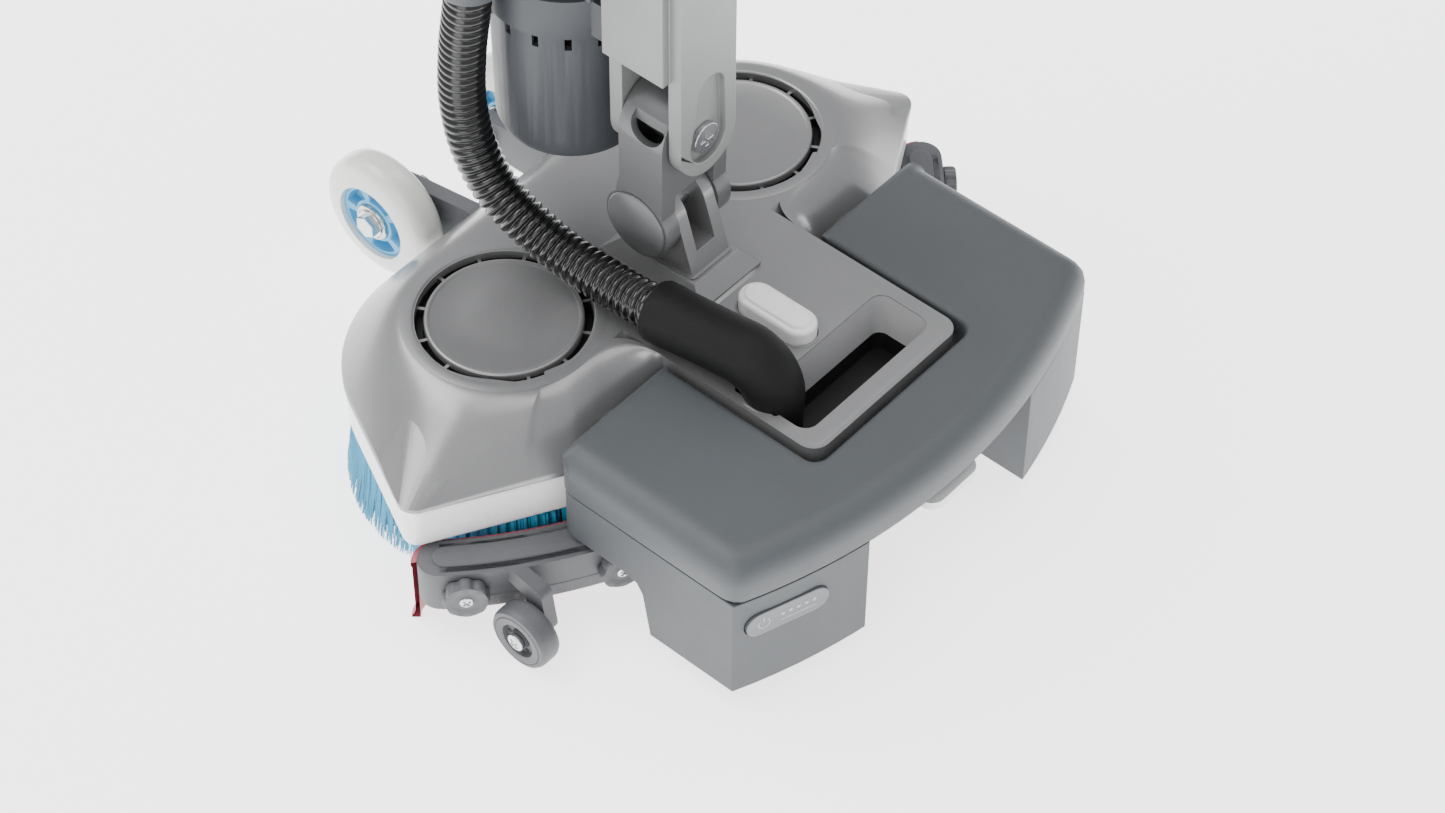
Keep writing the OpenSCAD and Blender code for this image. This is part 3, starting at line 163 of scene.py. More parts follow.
materialValues = {
    "deckSilver": dict(color=(0.25, 0.25, 0.253), rough=0.31, metal=0.55, coat=0.25, flake=0.25, spread=0.03),
    # recess walls: a plain light grey instead of the deck's silver, painted light for the light the recess gets
    # too little of
    "recessWallPaintedLight": dict(color=(0.42, 0.42, 0.425), rough=0.45, spread=0.03),
    "whiteGloss": dict(color=(0.9, 0.9, 0.89), rough=0.28, coat=0.3, spread=0.02),
    "blackPlastic": dict(color=(0.012, 0.012, 0.013), rough=0.5, gloss=0.3, grain=1400.0),
    "castGrey": dict(color=(0.13, 0.132, 0.134), rough=0.4, metal=0.35, flake=0.3, depth=0.00005),
    "columnGrey": dict(color=(0.235, 0.24, 0.238), rough=0.42, metal=0.3, flake=0.2),
    "zinc": dict(color=(0.62, 0.63, 0.64), rough=0.27, metal=1.0, swing=0.1),
    "blackRubber": dict(color=(0.006, 0.006, 0.0065), rough=0.62, gloss=0.22, grain=1500.0, depth=0.00006),
    "hoseGloss": dict(color=(0.004, 0.004, 0.0045), rough=0.2, coat=0.3, swing=0.04, depth=0.00001),
    "tyreWhite": dict(color=(0.74, 0.74, 0.70), rough=0.2, coat=0.4, spread=0.03, depth=0.00001),
    "hubBlue": dict(color=(0.07, 0.34, 0.58), rough=0.4, spread=0.05),
    "bearing": dict(color=(0.55, 0.54, 0.52), rough=0.2, metal=1.0),
    "bristleBlue": dict(color=(0.05, 0.36, 0.56), rough=0.5, spread=0.25, grain=300.0,
                        depth=0.0002, stretch=(6.0, 6.0, 0.3)),
    "darkGrey": dict(color=(0.088, 0.09, 0.097), rough=0.5, depth=0.00005),
    "bladeRed": dict(color=(0.42, 0.085, 0.11), rough=0.45, spread=0.08),
    "slate": dict(color=(0.064, 0.071, 0.077), rough=0.52, grain=1100.0, depth=0.00009, spread=0.05),
    "housingBlue": dict(color=(0.045, 0.05, 0.057), rough=0.5, grain=1100.0, depth=0.00007, spread=0.05),
    "cellMetal": dict(color=(0.5, 0.5, 0.52), rough=0.3, metal=0.9),
    "motorGrey": dict(color=(0.1, 0.1, 0.11), rough=0.4, metal=0.6),
    "smokyLid": dict(color=(0.26, 0.29, 0.31), rough=0.2, coat=0.4),
    "tankWhite": dict(color=(0.68, 0.72, 0.73), rough=0.42, spread=0.03),
    "gaugeGrey": dict(color=(0.1, 0.11, 0.12), rough=0.3, coat=0.3),
    "symbolGrey": dict(color=(0.36, 0.38, 0.4), rough=0.5),
}
mats = {key: surface(key, **value) for key, value in materialValues.items()}
print("materials ready")


# ---- mesh helpers ----

def finishMesh(name, verts, faces, material, angle=40.0):
    mesh = bpy.data.meshes.new(name)
    mesh.from_pydata([tuple(v) for v in np.asarray(verts, float) * mm], [], faces)
    mesh.validate()
    obj = bpy.data.objects.new(name, mesh)
    bpy.context.scene.collection.objects.link(obj)
    mesh.materials.append(mats[material])
    mesh.polygons.foreach_set("use_smooth", [True] * len(mesh.polygons))
    if angle < 180.0:
        mesh.set_sharp_from_angle(angle=math.radians(angle))
    mesh.update()
    return obj


def gridFaces(rows, cols, closeRows=False, closeCols=False, start=0):
    # quads of a rows x cols grid of points, wrapping where asked
    i = np.arange(rows if closeRows else rows - 1)[:, None]
    j = np.arange(cols if closeCols else cols - 1)[None, :]
    a = i * cols + j
    b = i * cols + (j + 1) % cols
    c = ((i + 1) % rows) * cols + (j + 1) % cols
    d = ((i + 1) % rows) * cols + j
    return (np.stack(np.broadcast_arrays(a, b, c, d), -1).reshape(-1, 4) + start).tolist()


def lathe(name, profile, center, axis, material, count=96, angle=30.0):
    # profile: [radius, distance along axis]; point = center + axis d + r (u cos t + v sin t)
    axis = Vector(axis).normalized()
    u = axis.orthogonal().normalized()
    v = axis.cross(u)
    t = np.linspace(0, 2 * math.pi, count, endpoint=False)
    ring = np.cos(t)[:, None] * np.array(u) + np.sin(t)[:, None] * np.array(v)
    p = np.asarray(profile, float)
    pts = np.array(center) + p[:, 1, None, None] * np.array(axis) + p[:, 0, None, None] * ring[None]
    return finishMesh(name, pts.reshape(-1, 3), gridFaces(len(p), count, closeCols=True), material, angle)


def insetLoop(loop, amount):
    # every corner moves along its mitre, so the walls move inwards by amount
    prev, nxt = np.roll(loop, 1, 0), np.roll(loop, -1, 0)
    a = (loop - prev) / np.maximum(np.linalg.norm(loop - prev, axis=1), 1e-9)[:, None]
    b = (nxt - loop) / np.maximum(np.linalg.norm(nxt - loop, axis=1), 1e-9)[:, None]
    na = np.stack([-a[:, 1], a[:, 0]], 1)
    nb = np.stack([-b[:, 1], b[:, 0]], 1)
    m = na + nb
    m /= np.maximum((m * nb).sum(1), 0.35)[:, None]
    return loop + m * amount


def pillow(name, loop, layers, material, place=None, caps=(True, True), angle=50.0):
    # loop: plan outline, counter-clockwise; layers: [height, inset]; caps: bottom and top
    loop = np.asarray(loop, float)
    rings = []
    for height, inset in layers:
        ring = insetLoop(loop, inset)
        rings.append(np.column_stack([ring, np.full(len(ring), height)]))
    verts = np.concatenate(rings)
    count = len(loop)
    faces = gridFaces(len(layers), count, closeCols=True)
    if caps[0]:
        faces.append(list(range(count))[::-1])
    if caps[1]:
        faces.append(list(range((len(layers) - 1) * count, len(layers) * count)))
    if place is not None:
        verts = place(verts)
    return finishMesh(name, verts, faces, material, angle=angle)


def arcPoints(cx, cy, r, start, end, count):
    t = np.radians(np.linspace(start, end, count))
    return np.column_stack([cx + r * np.cos(t), cy + r * np.sin(t)])


def stadium(half, r, count=14):
    # outline of two half circles of radius r, length 2 half along X
    return np.concatenate([arcPoints(half - r, 0, r, -90, 90, count),
                           arcPoints(r - half, 0, r, 90, 270, count)])


def rounding(r, top, steps=5):
    # layers of a quarter round: inset r (1 - cos a), height top - r (1 - sin a)
    turns = np.linspace(0, math.pi / 2, steps + 1)
    return [[top - r * (1 - math.sin(a)), r * (1 - math.cos(a))] for a in turns]


def smoothPath(points, steps):
    # Catmull-Rom curve through the points
    p = np.asarray(points, float)
    q = np.concatenate([[2 * p[0] - p[1]], p, [2 * p[-1] - p[-2]]])
    out = []
    for i in range(1, len(q) - 2):
        a, b, c, d = q[i - 1], q[i], q[i + 1], q[i + 2]
        for t in np.arange(steps) / steps:
            out.append(0.5 * (2 * b + (c - a) * t + (2 * a - 5 * b + 4 * c - d) * t ** 2
                              + (3 * b - a - 3 * c + d) * t ** 3))
    out.append(p[-1])
    return np.array(out)


def runLength(p):
    # distance along the polyline at each of its points
    return np.concatenate([[0], np.cumsum(np.linalg.norm(np.diff(p, axis=0), axis=1))])


def evenPath(points, spacing):
    # points at an even spacing, with the distance run at each
    p = np.asarray(points, float)
    run = runLength(p)
    s = np.linspace(0, run[-1], max(int(run[-1] / spacing), 2) + 1)
    return np.column_stack([np.interp(s, run, p[:, k]) for k in range(3)]), s


def sweep(name, path, radius, material, sides=32, hint=(1, 0, 0), angle=60.0, ends=True):
    # point = path + r (u cos t + v sin t), with u and v square to the path
    p = np.asarray(path, float)
    t = np.gradient(p, axis=0)
    t /= np.linalg.norm(t, axis=1)[:, None]
    u = np.cross(t, hint)
    u /= np.linalg.norm(u, axis=1)[:, None]
    v = np.cross(t, u)
    a = np.linspace(0, 2 * math.pi, sides, endpoint=False)
    r = np.broadcast_to(radius, (len(p),))[:, None, None]
    pts = p[:, None] + r * (u[:, None] * np.cos(a)[None, :, None] + v[:, None] * np.sin(a)[None, :, None])
    faces = gridFaces(len(p), sides, closeCols=True)
    if ends:
        faces.append(list(range(sides))[::-1])
        faces.append(list(range((len(p) - 1) * sides, len(p) * sides)))
    return finishMesh(name, pts.reshape(-1, 3), faces, material, angle=angle)


def joined(name, parts):
    # several made objects become one mesh
    verts, faces, start = [], [], 0
    slots, index = [], []
    for obj in parts:
        mesh = obj.data
        co = np.zeros(len(mesh.vertices) * 3)
        mesh.vertices.foreach_get("co", co)
        verts.append(co.reshape(-1, 3))
        mat = mesh.materials[0]
        if mat not in slots:
            slots.append(mat)
        for face in mesh.polygons:
            faces.append([v + start for v in face.vertices])
            index.append(slots.index(mat))
        start += len(mesh.vertices)
        bpy.data.objects.remove(obj)
        bpy.data.meshes.remove(mesh)
    made = bpy.data.meshes.new(name)
    made.from_pydata(np.concatenate(verts).tolist(), [], faces)
    for mat in slots:
        made.materials.append(mat)
    made.polygons.foreach_set("material_index", index)
    made.polygons.foreach_set("use_smooth", [True] * len(faces))
    made.set_sharp_from_angle(angle=math.radians(42))
    made.update()
    obj = bpy.data.objects.new(name, made)
    bpy.context.scene.collection.objects.link(obj)
    return obj


def outward(obj):
    # normals recalculated outwards after merging doubles
    bm = bmesh.new()
    bm.from_mesh(obj.data)
    bmesh.ops.remove_doubles(bm, verts=bm.verts, dist=1e-6)
    bmesh.ops.recalc_face_normals(bm, faces=bm.faces)
    bm.to_mesh(obj.data)
    bm.free()
    obj.data.update()
    return obj


def cad(node, material, bevel):
    # a node of the frame gets its material and, where bevel is not 0, softened edges of that many mm
    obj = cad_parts[node]
    obj.data.materials.clear()
    obj.data.materials.append(mats[material])
    if bevel:
        weld = obj.modifiers.new("weld", "WELD")
        weld.merge_threshold = 0.00001
        flat = obj.modifiers.new("flat", "DECIMATE")
        flat.decimate_type = "DISSOLVE"
        flat.angle_limit = math.radians(1.5)
        m = obj.modifiers.new("bevel", "BEVEL")
        m.width = bevel * mm
        m.segments = 3
        m.limit_method = "ANGLE"
        m.angle_limit = math.radians(38)
        m.harden_normals = False


# ---- deck shell ----

deckValues = {
    "podX": 92.0, "podY": 33.0, "ringR": 53.0, "lobeR": 86.5, "top": 110.0, "lip": 78.5,
    "bulge": 1.7, "neck": 58.8, "rear": -48.0, "tail": -150.0, "edge": 2.5,
    "corner": (192.5, 2.0), "tip": (122.0, -38.0), "cornerR": 10.0, "rise": 0.04,
    "crestBack": [(112, -12.5), (100, -17), (88, -19), (76, -20.5), (67, -24.5), (61.5, -32), (59.3, -41),
                  (58.8, -48)],
    # pairs of points on the lip and on the crest that face each other, from the front middle to the neck
    "anchors": [((0, 119.5), (0, 86)), ((92, 119.5), (92, 86)), ((153, 94), (129, 70)),
                ((178.5, 33), (145, 33)), ((199, -6), (135, 2)), ((163, -29), (118, -9)),
                ((134, -47), (104, -16)), ((100, -48), (80, -20)), ((76, -48), (65, -26)),
                ((58.8, -48), (58.8, -48))],
}


def resample(points, count):
    # the polyline as count points at even distances
    p = np.asarray(points, float)
    run = runLength(p)
    s = np.linspace(0, run[-1], count)
    return np.column_stack([np.interp(s, run, p[:, k]) for k in range(p.shape[1])])


def lipHalf(inset=0.0):
    # right half of the lip outline, from the front middle to the neck
    v = deckValues
    r = v["lobeR"] - inset
    c1, c2, c3 = np.array([v["podX"], v["podY"]]), np.array(v["corner"]), np.array(v["tip"])
    small = v["cornerR"] - inset

    def tangent(ca, ra, cb, rb):
        # outer tangent of two circles, on the right of the way from a to b
        d = cb - ca
        length = np.linalg.norm(d)
        base = math.atan2(d[1], d[0])
        turn = math.acos((ra - rb) / length)
        return math.degrees(base + turn)

    a1 = tangent(c1, r, c2, small)
    a1 = ((a1 + 180) % 360) - 180
    a2 = tangent(c2, small, c3, small)
    a2 = ((a2 + 180) % 360) - 180
    return np.concatenate([[[0, c1[1] + r]], arcPoints(c1[0], c1[1], r, 90, a1, 40),
                           arcPoints(c2[0], c2[1], small, a1, a2, 16),
                           arcPoints(c3[0], c3[1], small, a2, -90, 8), [[v["neck"] - 1, v["rear"] + inset]]])


def crestHalf():
    # right half of the flat top's outline, with the fillet from the pod to the neck
    v = deckValues
    arc = arcPoints(v["podX"], v["podY"], v["ringR"], 90, -64, 48)
    return np.concatenate([[[0, v["podY"] + v["ringR"]]], arc, smoothPath(v["crestBack"], 5)])


def harmonic(plan):
    # solves the Laplace equation on a grid of plan points, 0 on its first row and 1 on its last one, with
    # cotangent weights and conjugate gradients
    rows, cols = plan.shape[:2]
    p = plan.reshape(-1, 2)
    quads = np.array(gridFaces(rows, cols))
    tris = np.concatenate([quads[:, [0, 1, 2]], quads[:, [0, 2, 3]], quads[:, [0, 1, 3]], quads[:, [1, 2, 3]]])
    edges, weights = [], []
    for k in range(3):
        a, b, c = p[tris[:, k]], p[tris[:, (k + 1) % 3]], p[tris[:, (k + 2) % 3]]
        dot = np.sum((a - c) * (b - c), axis=1)
        cross = np.abs((a - c)[:, 0] * (b - c)[:, 1] - (a - c)[:, 1] * (b - c)[:, 0])
        edges.append(tris[:, [k, (k + 1) % 3]])
        weights.append(0.25 * dot / np.maximum(cross, 1e-3))
    e, w = np.concatenate(edges), np.clip(np.concatenate(weights), 0.0, 50.0)
    total = rows * cols
    diagonal = np.bincount(e[:, 0], w, total) + np.bincount(e[:, 1], w, total) + 1e-12
    free = np.ones(total)
    free[:cols] = 0
    free[-cols:] = 0
    x = np.repeat(np.linspace(0, 1, rows), cols)

    def apply(u):
        return (diagonal * u - np.bincount(e[:, 0], w * u[e[:, 1]], total)
                - np.bincount(e[:, 1], w * u[e[:, 0]], total))

    r = -apply(x) * free
    z = r / diagonal
    d, rz = z.copy(), float(r @ z)
    for turn in range(600):
        q = apply(d) * free
        alpha = rz / float(d @ q)
        x, r = x + alpha * d, r - alpha * q
        z = r / diagonal
        new = float(r @ z)
        if new < 1e-14:
            break
        d, rz = z + new / rz * d, new
    return x.reshape(rows, cols)


def nearest(points, spot):
    return int(np.argmin(np.linalg.norm(points - np.array(spot), axis=1)))


def deckShell():
    # rows run from just inside the crest, down the side to the lip and under it; columns follow the outline
    v = deckValues
    count = 220
    out, inn = resample(lipHalf(), 800), resample(crestHalf(), 800)
    runOut, runIn = runLength(out), runLength(inn)
    atLip = [runOut[nearest(out, a)] for a, b in v["anchors"]]
    atCrest = [runIn[nearest(inn, b)] for a, b in v["anchors"]]
    atLip[0] = atCrest[0] = 0.0
    s = np.linspace(0, runOut[-1], count)
    matched = np.interp(s, atLip, atCrest)
    lip = np.column_stack([np.interp(s, runOut, out[:, k]) for k in range(2)])
    crest = np.column_stack([np.interp(matched, runIn, inn[:, k]) for k in range(2)])
    top = v["top"] + v["rise"]
    rows = [np.column_stack([crest - 0.14 * (lip - crest), np.full(count, top)])]
    # a harmonic field h runs from 0 on the crest to 1 on the lip, and the side falls as h^bulge
    plan = np.array([crest + (lip - crest) * q for q in np.linspace(0, 1, 36)])
    fall = harmonic(plan) ** v["bulge"]
    for place, drop in zip(plan, fall):
        rows.append(np.column_stack([place, top - (v["top"] - v["lip"]) * drop]))
    rows.append(np.column_stack([lip, np.full(count, v["lip"] - v["edge"])]))
    rows.append(np.column_stack([lip * [0.985, 1.0], np.full(count, v["lip"] - v["edge"] - 0.5)]))
    grid = np.array(rows).reshape(-1, 3)
    parts = []
    for side in (1, -1):
        faces = gridFaces(len(rows), count)
        if side < 0:
            faces = [f[::-1] for f in faces]
        parts.append(finishMesh("half", grid * [side, 1, 1], faces, "deckSilver", 55))
    shell = joined("deckShell", parts)
    shell.data.set_sharp_from_angle(angle=math.radians(60))
    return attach(outward(shell), "deck")


recessValues = {"half": 50.5, "back": -137.5, "front": -102.0, "radius": 8.0, "low": 84.0}


def recessWalls():
    # upper walls of the hand recess, above its black floor, in a light grey: painted light, brighter than the
    # deck's silver to stand in for light that reaches too little into the recess
    v = recessValues
    corners = ((1, "back", -90), (1, "front", 0), (-1, "front", 90), (-1, "back", 180))
    loop = np.concatenate([arcPoints(s * (v["half"] - v["radius"]), v[y] + (v["radius"] if y == "back" else
                                     -v["radius"]), v["radius"], a, a + 90, 10) for s, y, a in corners])
    obj = pillow("recessWalls", loop, [[v["low"], 2.2], [v["low"] + 2, 1.9], [108.0, 0.3], [109.6, 0.1]],
                 "recessWallPaintedLight", caps=(False, False))
    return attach(obj, "deck")


deckShell()
recessWalls()
print("deck shell ready")

skirtValues = {"top": 76.0, "low": 48.5, "inset": 1.0, "wall": 3.0, "rounding": 3.0}


def skirtBand():
    v = skirtValues
    half = lipHalf(v["inset"])
    line = np.concatenate([half[::-1] * [-1, 1], half[1:]])
    line = resample(line, 360)
    n = np.gradient(line, axis=0)
    n = np.column_stack([n[:, 1], -n[:, 0]])
    n /= np.linalg.norm(n, axis=1)[:, None]
    if n[180, 1] < 0:
        n = -n
    # across: outer wall with a slight lean, rounded foot, inner wall
    prof = [(0.6, v["top"] + 0.5), (0.6, v["top"] - 1), (0, v["top"] - 2)]
    prof += [(-0.012 * (v["top"] - z), z) for z in np.linspace(v["top"] - 4, v["low"] + v["rounding"], 6)]
    prof += [(-0.3 - v["rounding"] * (1 - math.cos(a)) * 0.5, v["low"] + v["rounding"] * (1 - math.sin(a)))
             for a in np.linspace(0.2, math.pi / 2, 5)]
    prof += [(-v["wall"] - 0.5, v["low"]), (-v["wall"], v["low"] + 2), (-v["wall"], v["top"])]
    g = np.array([np.column_stack([line + n * d, np.full(len(line), z)]) for d, z in prof])
    obj = finishMesh("skirtBand", g.reshape(-1, 3), gridFaces(len(prof), len(line)), "whiteGloss", angle=50)
    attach(outward(obj), "deck")
    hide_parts("skirt")


skirtBand()


def tailWall():
    # sides and back of the tail, with a rounded upper edge
    v = deckValues
    r = 10.0
    line = np.concatenate([[[v["neck"], v["rear"]]], arcPoints(v["neck"] - r, v["tail"] + r, r, 0, -90, 14),
                           arcPoints(-v["neck"] + r, v["tail"] + r, r, -90, -180, 14),
                           [[-v["neck"], v["rear"]]]])
    n = np.concatenate([[[1, 0]], arcPoints(0, 0, 1, 0, -90, 14), arcPoints(0, 0, 1, -90, -180, 14), [[-1, 0]]])
    prof = [(-6.0, v["top"] + 0.03), (-3.0, v["top"] + 0.03)]
    prof += [(-3.0 + 3.05 * math.sin(a), v["top"] - 3 + 3.03 * math.cos(a))
             for a in np.linspace(0.15, math.pi / 2, 7)]
    prof += [(0.05, 64.2), (-2.0, 64.0)]
    g = np.array([np.column_stack([line + n * d, np.full(len(line), z)]) for d, z in prof])
    obj = finishMesh("tailWall", g.reshape(-1, 3), gridFaces(len(prof), len(line)), "deckSilver", angle=50)
    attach(outward(obj), "deck")


tailWall()

podValues = {"capR": 41.9, "grooveR": 46.7, "rimOut": 53.0, "slots": 12, "rimRise": 0.5,
             "ribStart": 0.93, "slotDepth": 8.5, "ribDepth": 3.6}


def podTops():
    v = podValues
    for side in (-1, 1):
        center = (side * deckValues["podX"], deckValues["podY"], 0.0)
        z = deckValues["top"]
        rim = [[v["grooveR"] - 0.05, z - 7], [v["grooveR"] - 0.05, z - 1.2], [v["grooveR"] + 0.2, z - 0.3],
               [v["grooveR"] + 0.9, z + v["rimRise"] * 0.8], [v["grooveR"] + 1.9, z + v["rimRise"]],
               [v["rimOut"] - 2.4, z + v["rimRise"] * 0.9], [v["rimOut"] - 0.6, z + v["rimRise"] * 0.5],
               [v["rimOut"] + 0.6, z + 0.06]]
        obj = lathe("podRim", rim, center, (0, 0, 1), "deckSilver", 144, 50)
        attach(outward(obj), "deck")
        edge = [[v["capR"], z - 5.5], [v["capR"], z - 1.3], [v["capR"] - 0.3, z - 0.5],
                [v["capR"] - 1.0, z - 0.1],
                [v["capR"] - 1.9, z - 0.05], [v["capR"] - 2.8, z - 0.5], [v["capR"] - 3.4, z - 0.75],
                [20.0, z - 0.55], [0.01, z - 0.5]]
        cap = lathe("podCap", edge, center, (0, 0, 1), "deckSilver", 144, 50)
        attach(outward(cap), "deck")
        # slotted floor of the gap: painted ribs every 360/slots degrees over a dark ring
        count = 288
        t = np.linspace(0, 2 * math.pi, count, endpoint=False)
        wave = np.cos(t * v["slots"])
        rib = np.clip((wave - v["ribStart"]) * 40, 0, 1)
        radii = [v["capR"] - 0.2, v["capR"] + 0.8, v["grooveR"] - 0.9, v["grooveR"] + 0.2]
        rows = []
        for k, r in enumerate(radii):
            low = z - v["slotDepth"] if k in (1, 2) else z - v["ribDepth"]
            height = low + rib * (z - v["ribDepth"] - low) if k in (1, 2) else np.full(count, low)
            rows.append(np.column_stack([center[0] + r * np.cos(t), center[1] + r * np.sin(t), height]))
        ring = finishMesh("ventRing", np.concatenate(rows), gridFaces(4, count, closeCols=True), "blackPlastic",
                          angle=30)
        outward(ring)
        ring.data.materials.append(mats["deckSilver"])
        bridge = [np.cos(math.atan2(p.center.y / mm - center[1], p.center.x / mm - center[0]) * v["slots"])
                  > v["ribStart"]
                  for p in ring.data.polygons]
        ring.data.polygons.foreach_set("material_index", [int(b) for b in bridge])
        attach(ring, "deck")
    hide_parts("vent_rings")
    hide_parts("motor_caps")


podTops()
print("pod tops ready")

bristleValues = {"rows": (85.0, 82.5, 79.0, 75.0), "tufts": 96, "strands": 8, "radius": 0.75, "top": 46.0,
                 "splay": 3.4}


def bristleRing(side):
    # each strand is a thin tapered rod: point = head + t (foot - head), radius falls from r to 0.4 r
    v = bristleValues
    rng = np.random.default_rng(7 + side)
    rows, tufts, strands, sides = len(v["rows"]), v["tufts"], v["strands"], 4
    k = np.arange(rows * tufts * strands)
    row = k // (tufts * strands)
    tuft = (k // strands) % tufts
    a = 2 * math.pi * (tuft + 0.5 * (row % 2)) / tufts + rng.normal(0, 0.012, len(k))
    base = np.array(v["rows"])[row]
    headR = base - 3 + rng.normal(0, 0.7, len(k))
    footR = np.minimum(base + v["splay"] * (1 - row / 5) + rng.normal(0, 1.3, len(k)), 88.5)
    da = rng.normal(0, 0.022, len(k))
    tip = np.abs(rng.normal(0, 1.5, len(k))) + 0.2
    levels = []
    for t, s in ((0.0, 1.0), (0.45, 0.9), (1.0, 0.45)):
        r = headR + (footR - headR) * t ** 1.4
        ang = a + da * t * t
        levels.append((r * np.cos(ang), r * np.sin(ang), v["top"] + (tip - v["top"]) * t, s))
    b = np.linspace(0, 2 * math.pi, sides, endpoint=False)
    pts = np.stack([np.stack([x[:, None] + v["radius"] * s * np.cos(b),
                              y[:, None] + v["radius"] * s * np.sin(b),
                              np.repeat(z[:, None], sides, 1)], -1) for x, y, z, s in levels], 1)
    faces = []
    for start in (k * 3 * sides).tolist():
        faces += gridFaces(3, sides, closeCols=True, start=start)
        faces.append([start + 2 * sides + j for j in range(sides)])
    pts = pts.reshape(-1, 3) + [side * deckValues["podX"], deckValues["podY"], 0]
    name = "leftTufts" if side < 0 else "rightTufts"
    obj = finishMesh(name, pts, faces, "bristleBlue", angle=180)
    core = lathe("core", [[30, 30], [70, 30], [76, 6], [30, 6]],
                 (side * deckValues["podX"], deckValues["podY"], 0),
                 (0, 0, 1), "bristleBlue", 72)
    obj = joined(name, [obj, core])
    body, node = ("left_brush", "left_bristles") if side < 0 else ("right_brush", "right_bristles")
    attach(obj, body)
    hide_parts(node)


bristleRing(-1)
bristleRing(1)
print("bristles ready")

squeegeeValues = {"centerY": 180.0, "inner": 266.0, "outer": 289.5, "angle": 45.0, "low": 20.0, "top": 47.0,
                  "blade": 3.0, "rear": 3.2}


def arcBar(name, inner, outer, angle, layers, material, count=90):
    # plan outline: outer arc, round end, inner arc, round end
    v = squeegeeValues
    c = (0.0, v["centerY"])
    a = -90 - angle, -90 + angle
    half = (outer - inner) / 2
    mid = (outer + inner) / 2
    ends = [(c[0] + mid * math.cos(math.radians(t)), c[1] + mid * math.sin(math.radians(t))) for t in a]
    loop = np.concatenate([arcPoints(c[0], c[1], outer, a[0], a[1], count)[:-1],
                           arcPoints(ends[1][0], ends[1][1], half, a[1], a[1] + 180, 16)[:-1],
                           arcPoints(c[0], c[1], inner, a[1], a[0], count)[:-1],
                           arcPoints(ends[0][0], ends[0][1], half, a[0] + 180, a[0] + 360, 16)[:-1]])
    return pillow(name, loop, layers, material)


def squeegee():
    v = squeegeeValues
    bar = arcBar("bar", v["inner"] + 0.1, v["outer"], v["angle"],
                 [[v["low"], 1.0], [v["low"] + 1, 0], [v["top"] - 6, 0]] + rounding(2.2, v["top"]), "darkGrey")
    ridge = arcBar("ridge", v["inner"] + 4.5, v["outer"] - 5.5, v["angle"] - 0.6,
                   [[v["top"] - 2, 0]] + rounding(1.0, v["top"] + 1.2, 3), "darkGrey")
    step = arcBar("step", v["inner"] + 1.2, v["outer"] + 0.25, v["angle"] - 0.2,
                  [[v["low"] + 6.0, 0.4], [v["low"] + 6.4, 0], [v["low"] + 8.6, 0], [v["low"] + 9, 0.4]],
                  "darkGrey")
    frameObj = joined("squeegeeBar", [bar, ridge, step])
    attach(outward(frameObj), "squeegee")


def blades():
    # a thin wall that follows the front of the bar and wraps round both ends, with a foot at the floor
    v = squeegeeValues
    c = v["centerY"]
    inner = v["inner"] - 0.05
    mid, half = (v["inner"] + v["outer"]) / 2, (v["outer"] - v["inner"]) / 2 + 0.1
    a0, a1 = -90 - v["angle"], -90 + v["angle"]
    e1 = np.array([mid * math.cos(math.radians(a1)), c + mid * math.sin(math.radians(a1))])
    e0 = e1 * [-1, 1]
    line = np.concatenate([arcPoints(e0[0], e0[1], half, a0 + 270, a0 + 182, 12),
                           arcPoints(0, c, inner, a0, a1, 120),
                           arcPoints(e1[0], e1[1], half, a1 + 178, a1 + 90, 12)])
    n = np.gradient(line, axis=0)
    n = np.column_stack([-n[:, 1], n[:, 0]])
    n /= np.linalg.norm(n, axis=1)[:, None]
    k = len(line) // 2
    if n[k, 1] < 0:
        n = -n
    t = v["blade"]
    prof = [(0, 0.5), (0.2, 0.0), (t + 1.6, 0.0), (t + 1.8, 1.4), (t + 0.3, 3.2), (t - 0.6, 7.0),
            (t - 0.6, 40.5),
            (t, 41.5), (t, 44.3), (0, 44.8)]
    g = np.array([np.column_stack([line + n * d, np.full(len(line), z)]) for d, z in prof])
    obj = finishMesh("frontBlade", g.reshape(-1, 3), gridFaces(len(prof), len(line), closeRows=True),
                     "bladeRed",
                     angle=40)
    rear = arcBar("rearBlade", v["inner"] + v["rear"], v["inner"] + v["rear"] + 2.0, v["angle"] - 2,
                  [[0.0, 0.5], [0.5, 0], [36.9, 0]], "bladeRed")
    obj = joined("blades", [outward(obj), outward(rear)])
    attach(obj, "squeegee")
    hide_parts("squeegee_blades")


squeegee()
blades()

knobValues = {"radius": 12.5, "lobes": 8, "depth": 1.5, "thick": 8.4, "angles": (42.5, 26.5), "z": 33.0,
              "gap": 0.2}


def zincScrew(center, axis, r, body, name="screwHead"):
    # domed head with a cross of two grooves pressed into it
    axis = Vector(axis).normalized()
    u = axis.orthogonal().normalized()
    w = axis.cross(u)
    rows, count = 14, 48
    t = np.linspace(0, 2 * math.pi, count, endpoint=False)
    pts = []
    for k in range(rows):
        q = (1 - k / (rows - 1)) * r
        h = 0.34 * r * math.sqrt(max(1 - (q / r) ** 2 * 0.92, 0))
        x, y = q * np.cos(t), q * np.sin(t)
        near = np.minimum(np.abs(x), np.abs(y))
        dig = np.where((near < 0.17 * r) & (q < 0.66 * r), 0.3 * r, 0.0)
        pts.append(np.array(center) + x[:, None] * np.array(u) + y[:, None] * np.array(w)
                   + (h - dig)[:, None] * np.array(axis))
    pts.insert(0, pts[0] - 0.5 * np.array(axis))
    obj = finishMesh(name, np.concatenate(pts), gridFaces(rows + 1, count, closeCols=True), "zinc", angle=35)
    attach(outward(obj), body)


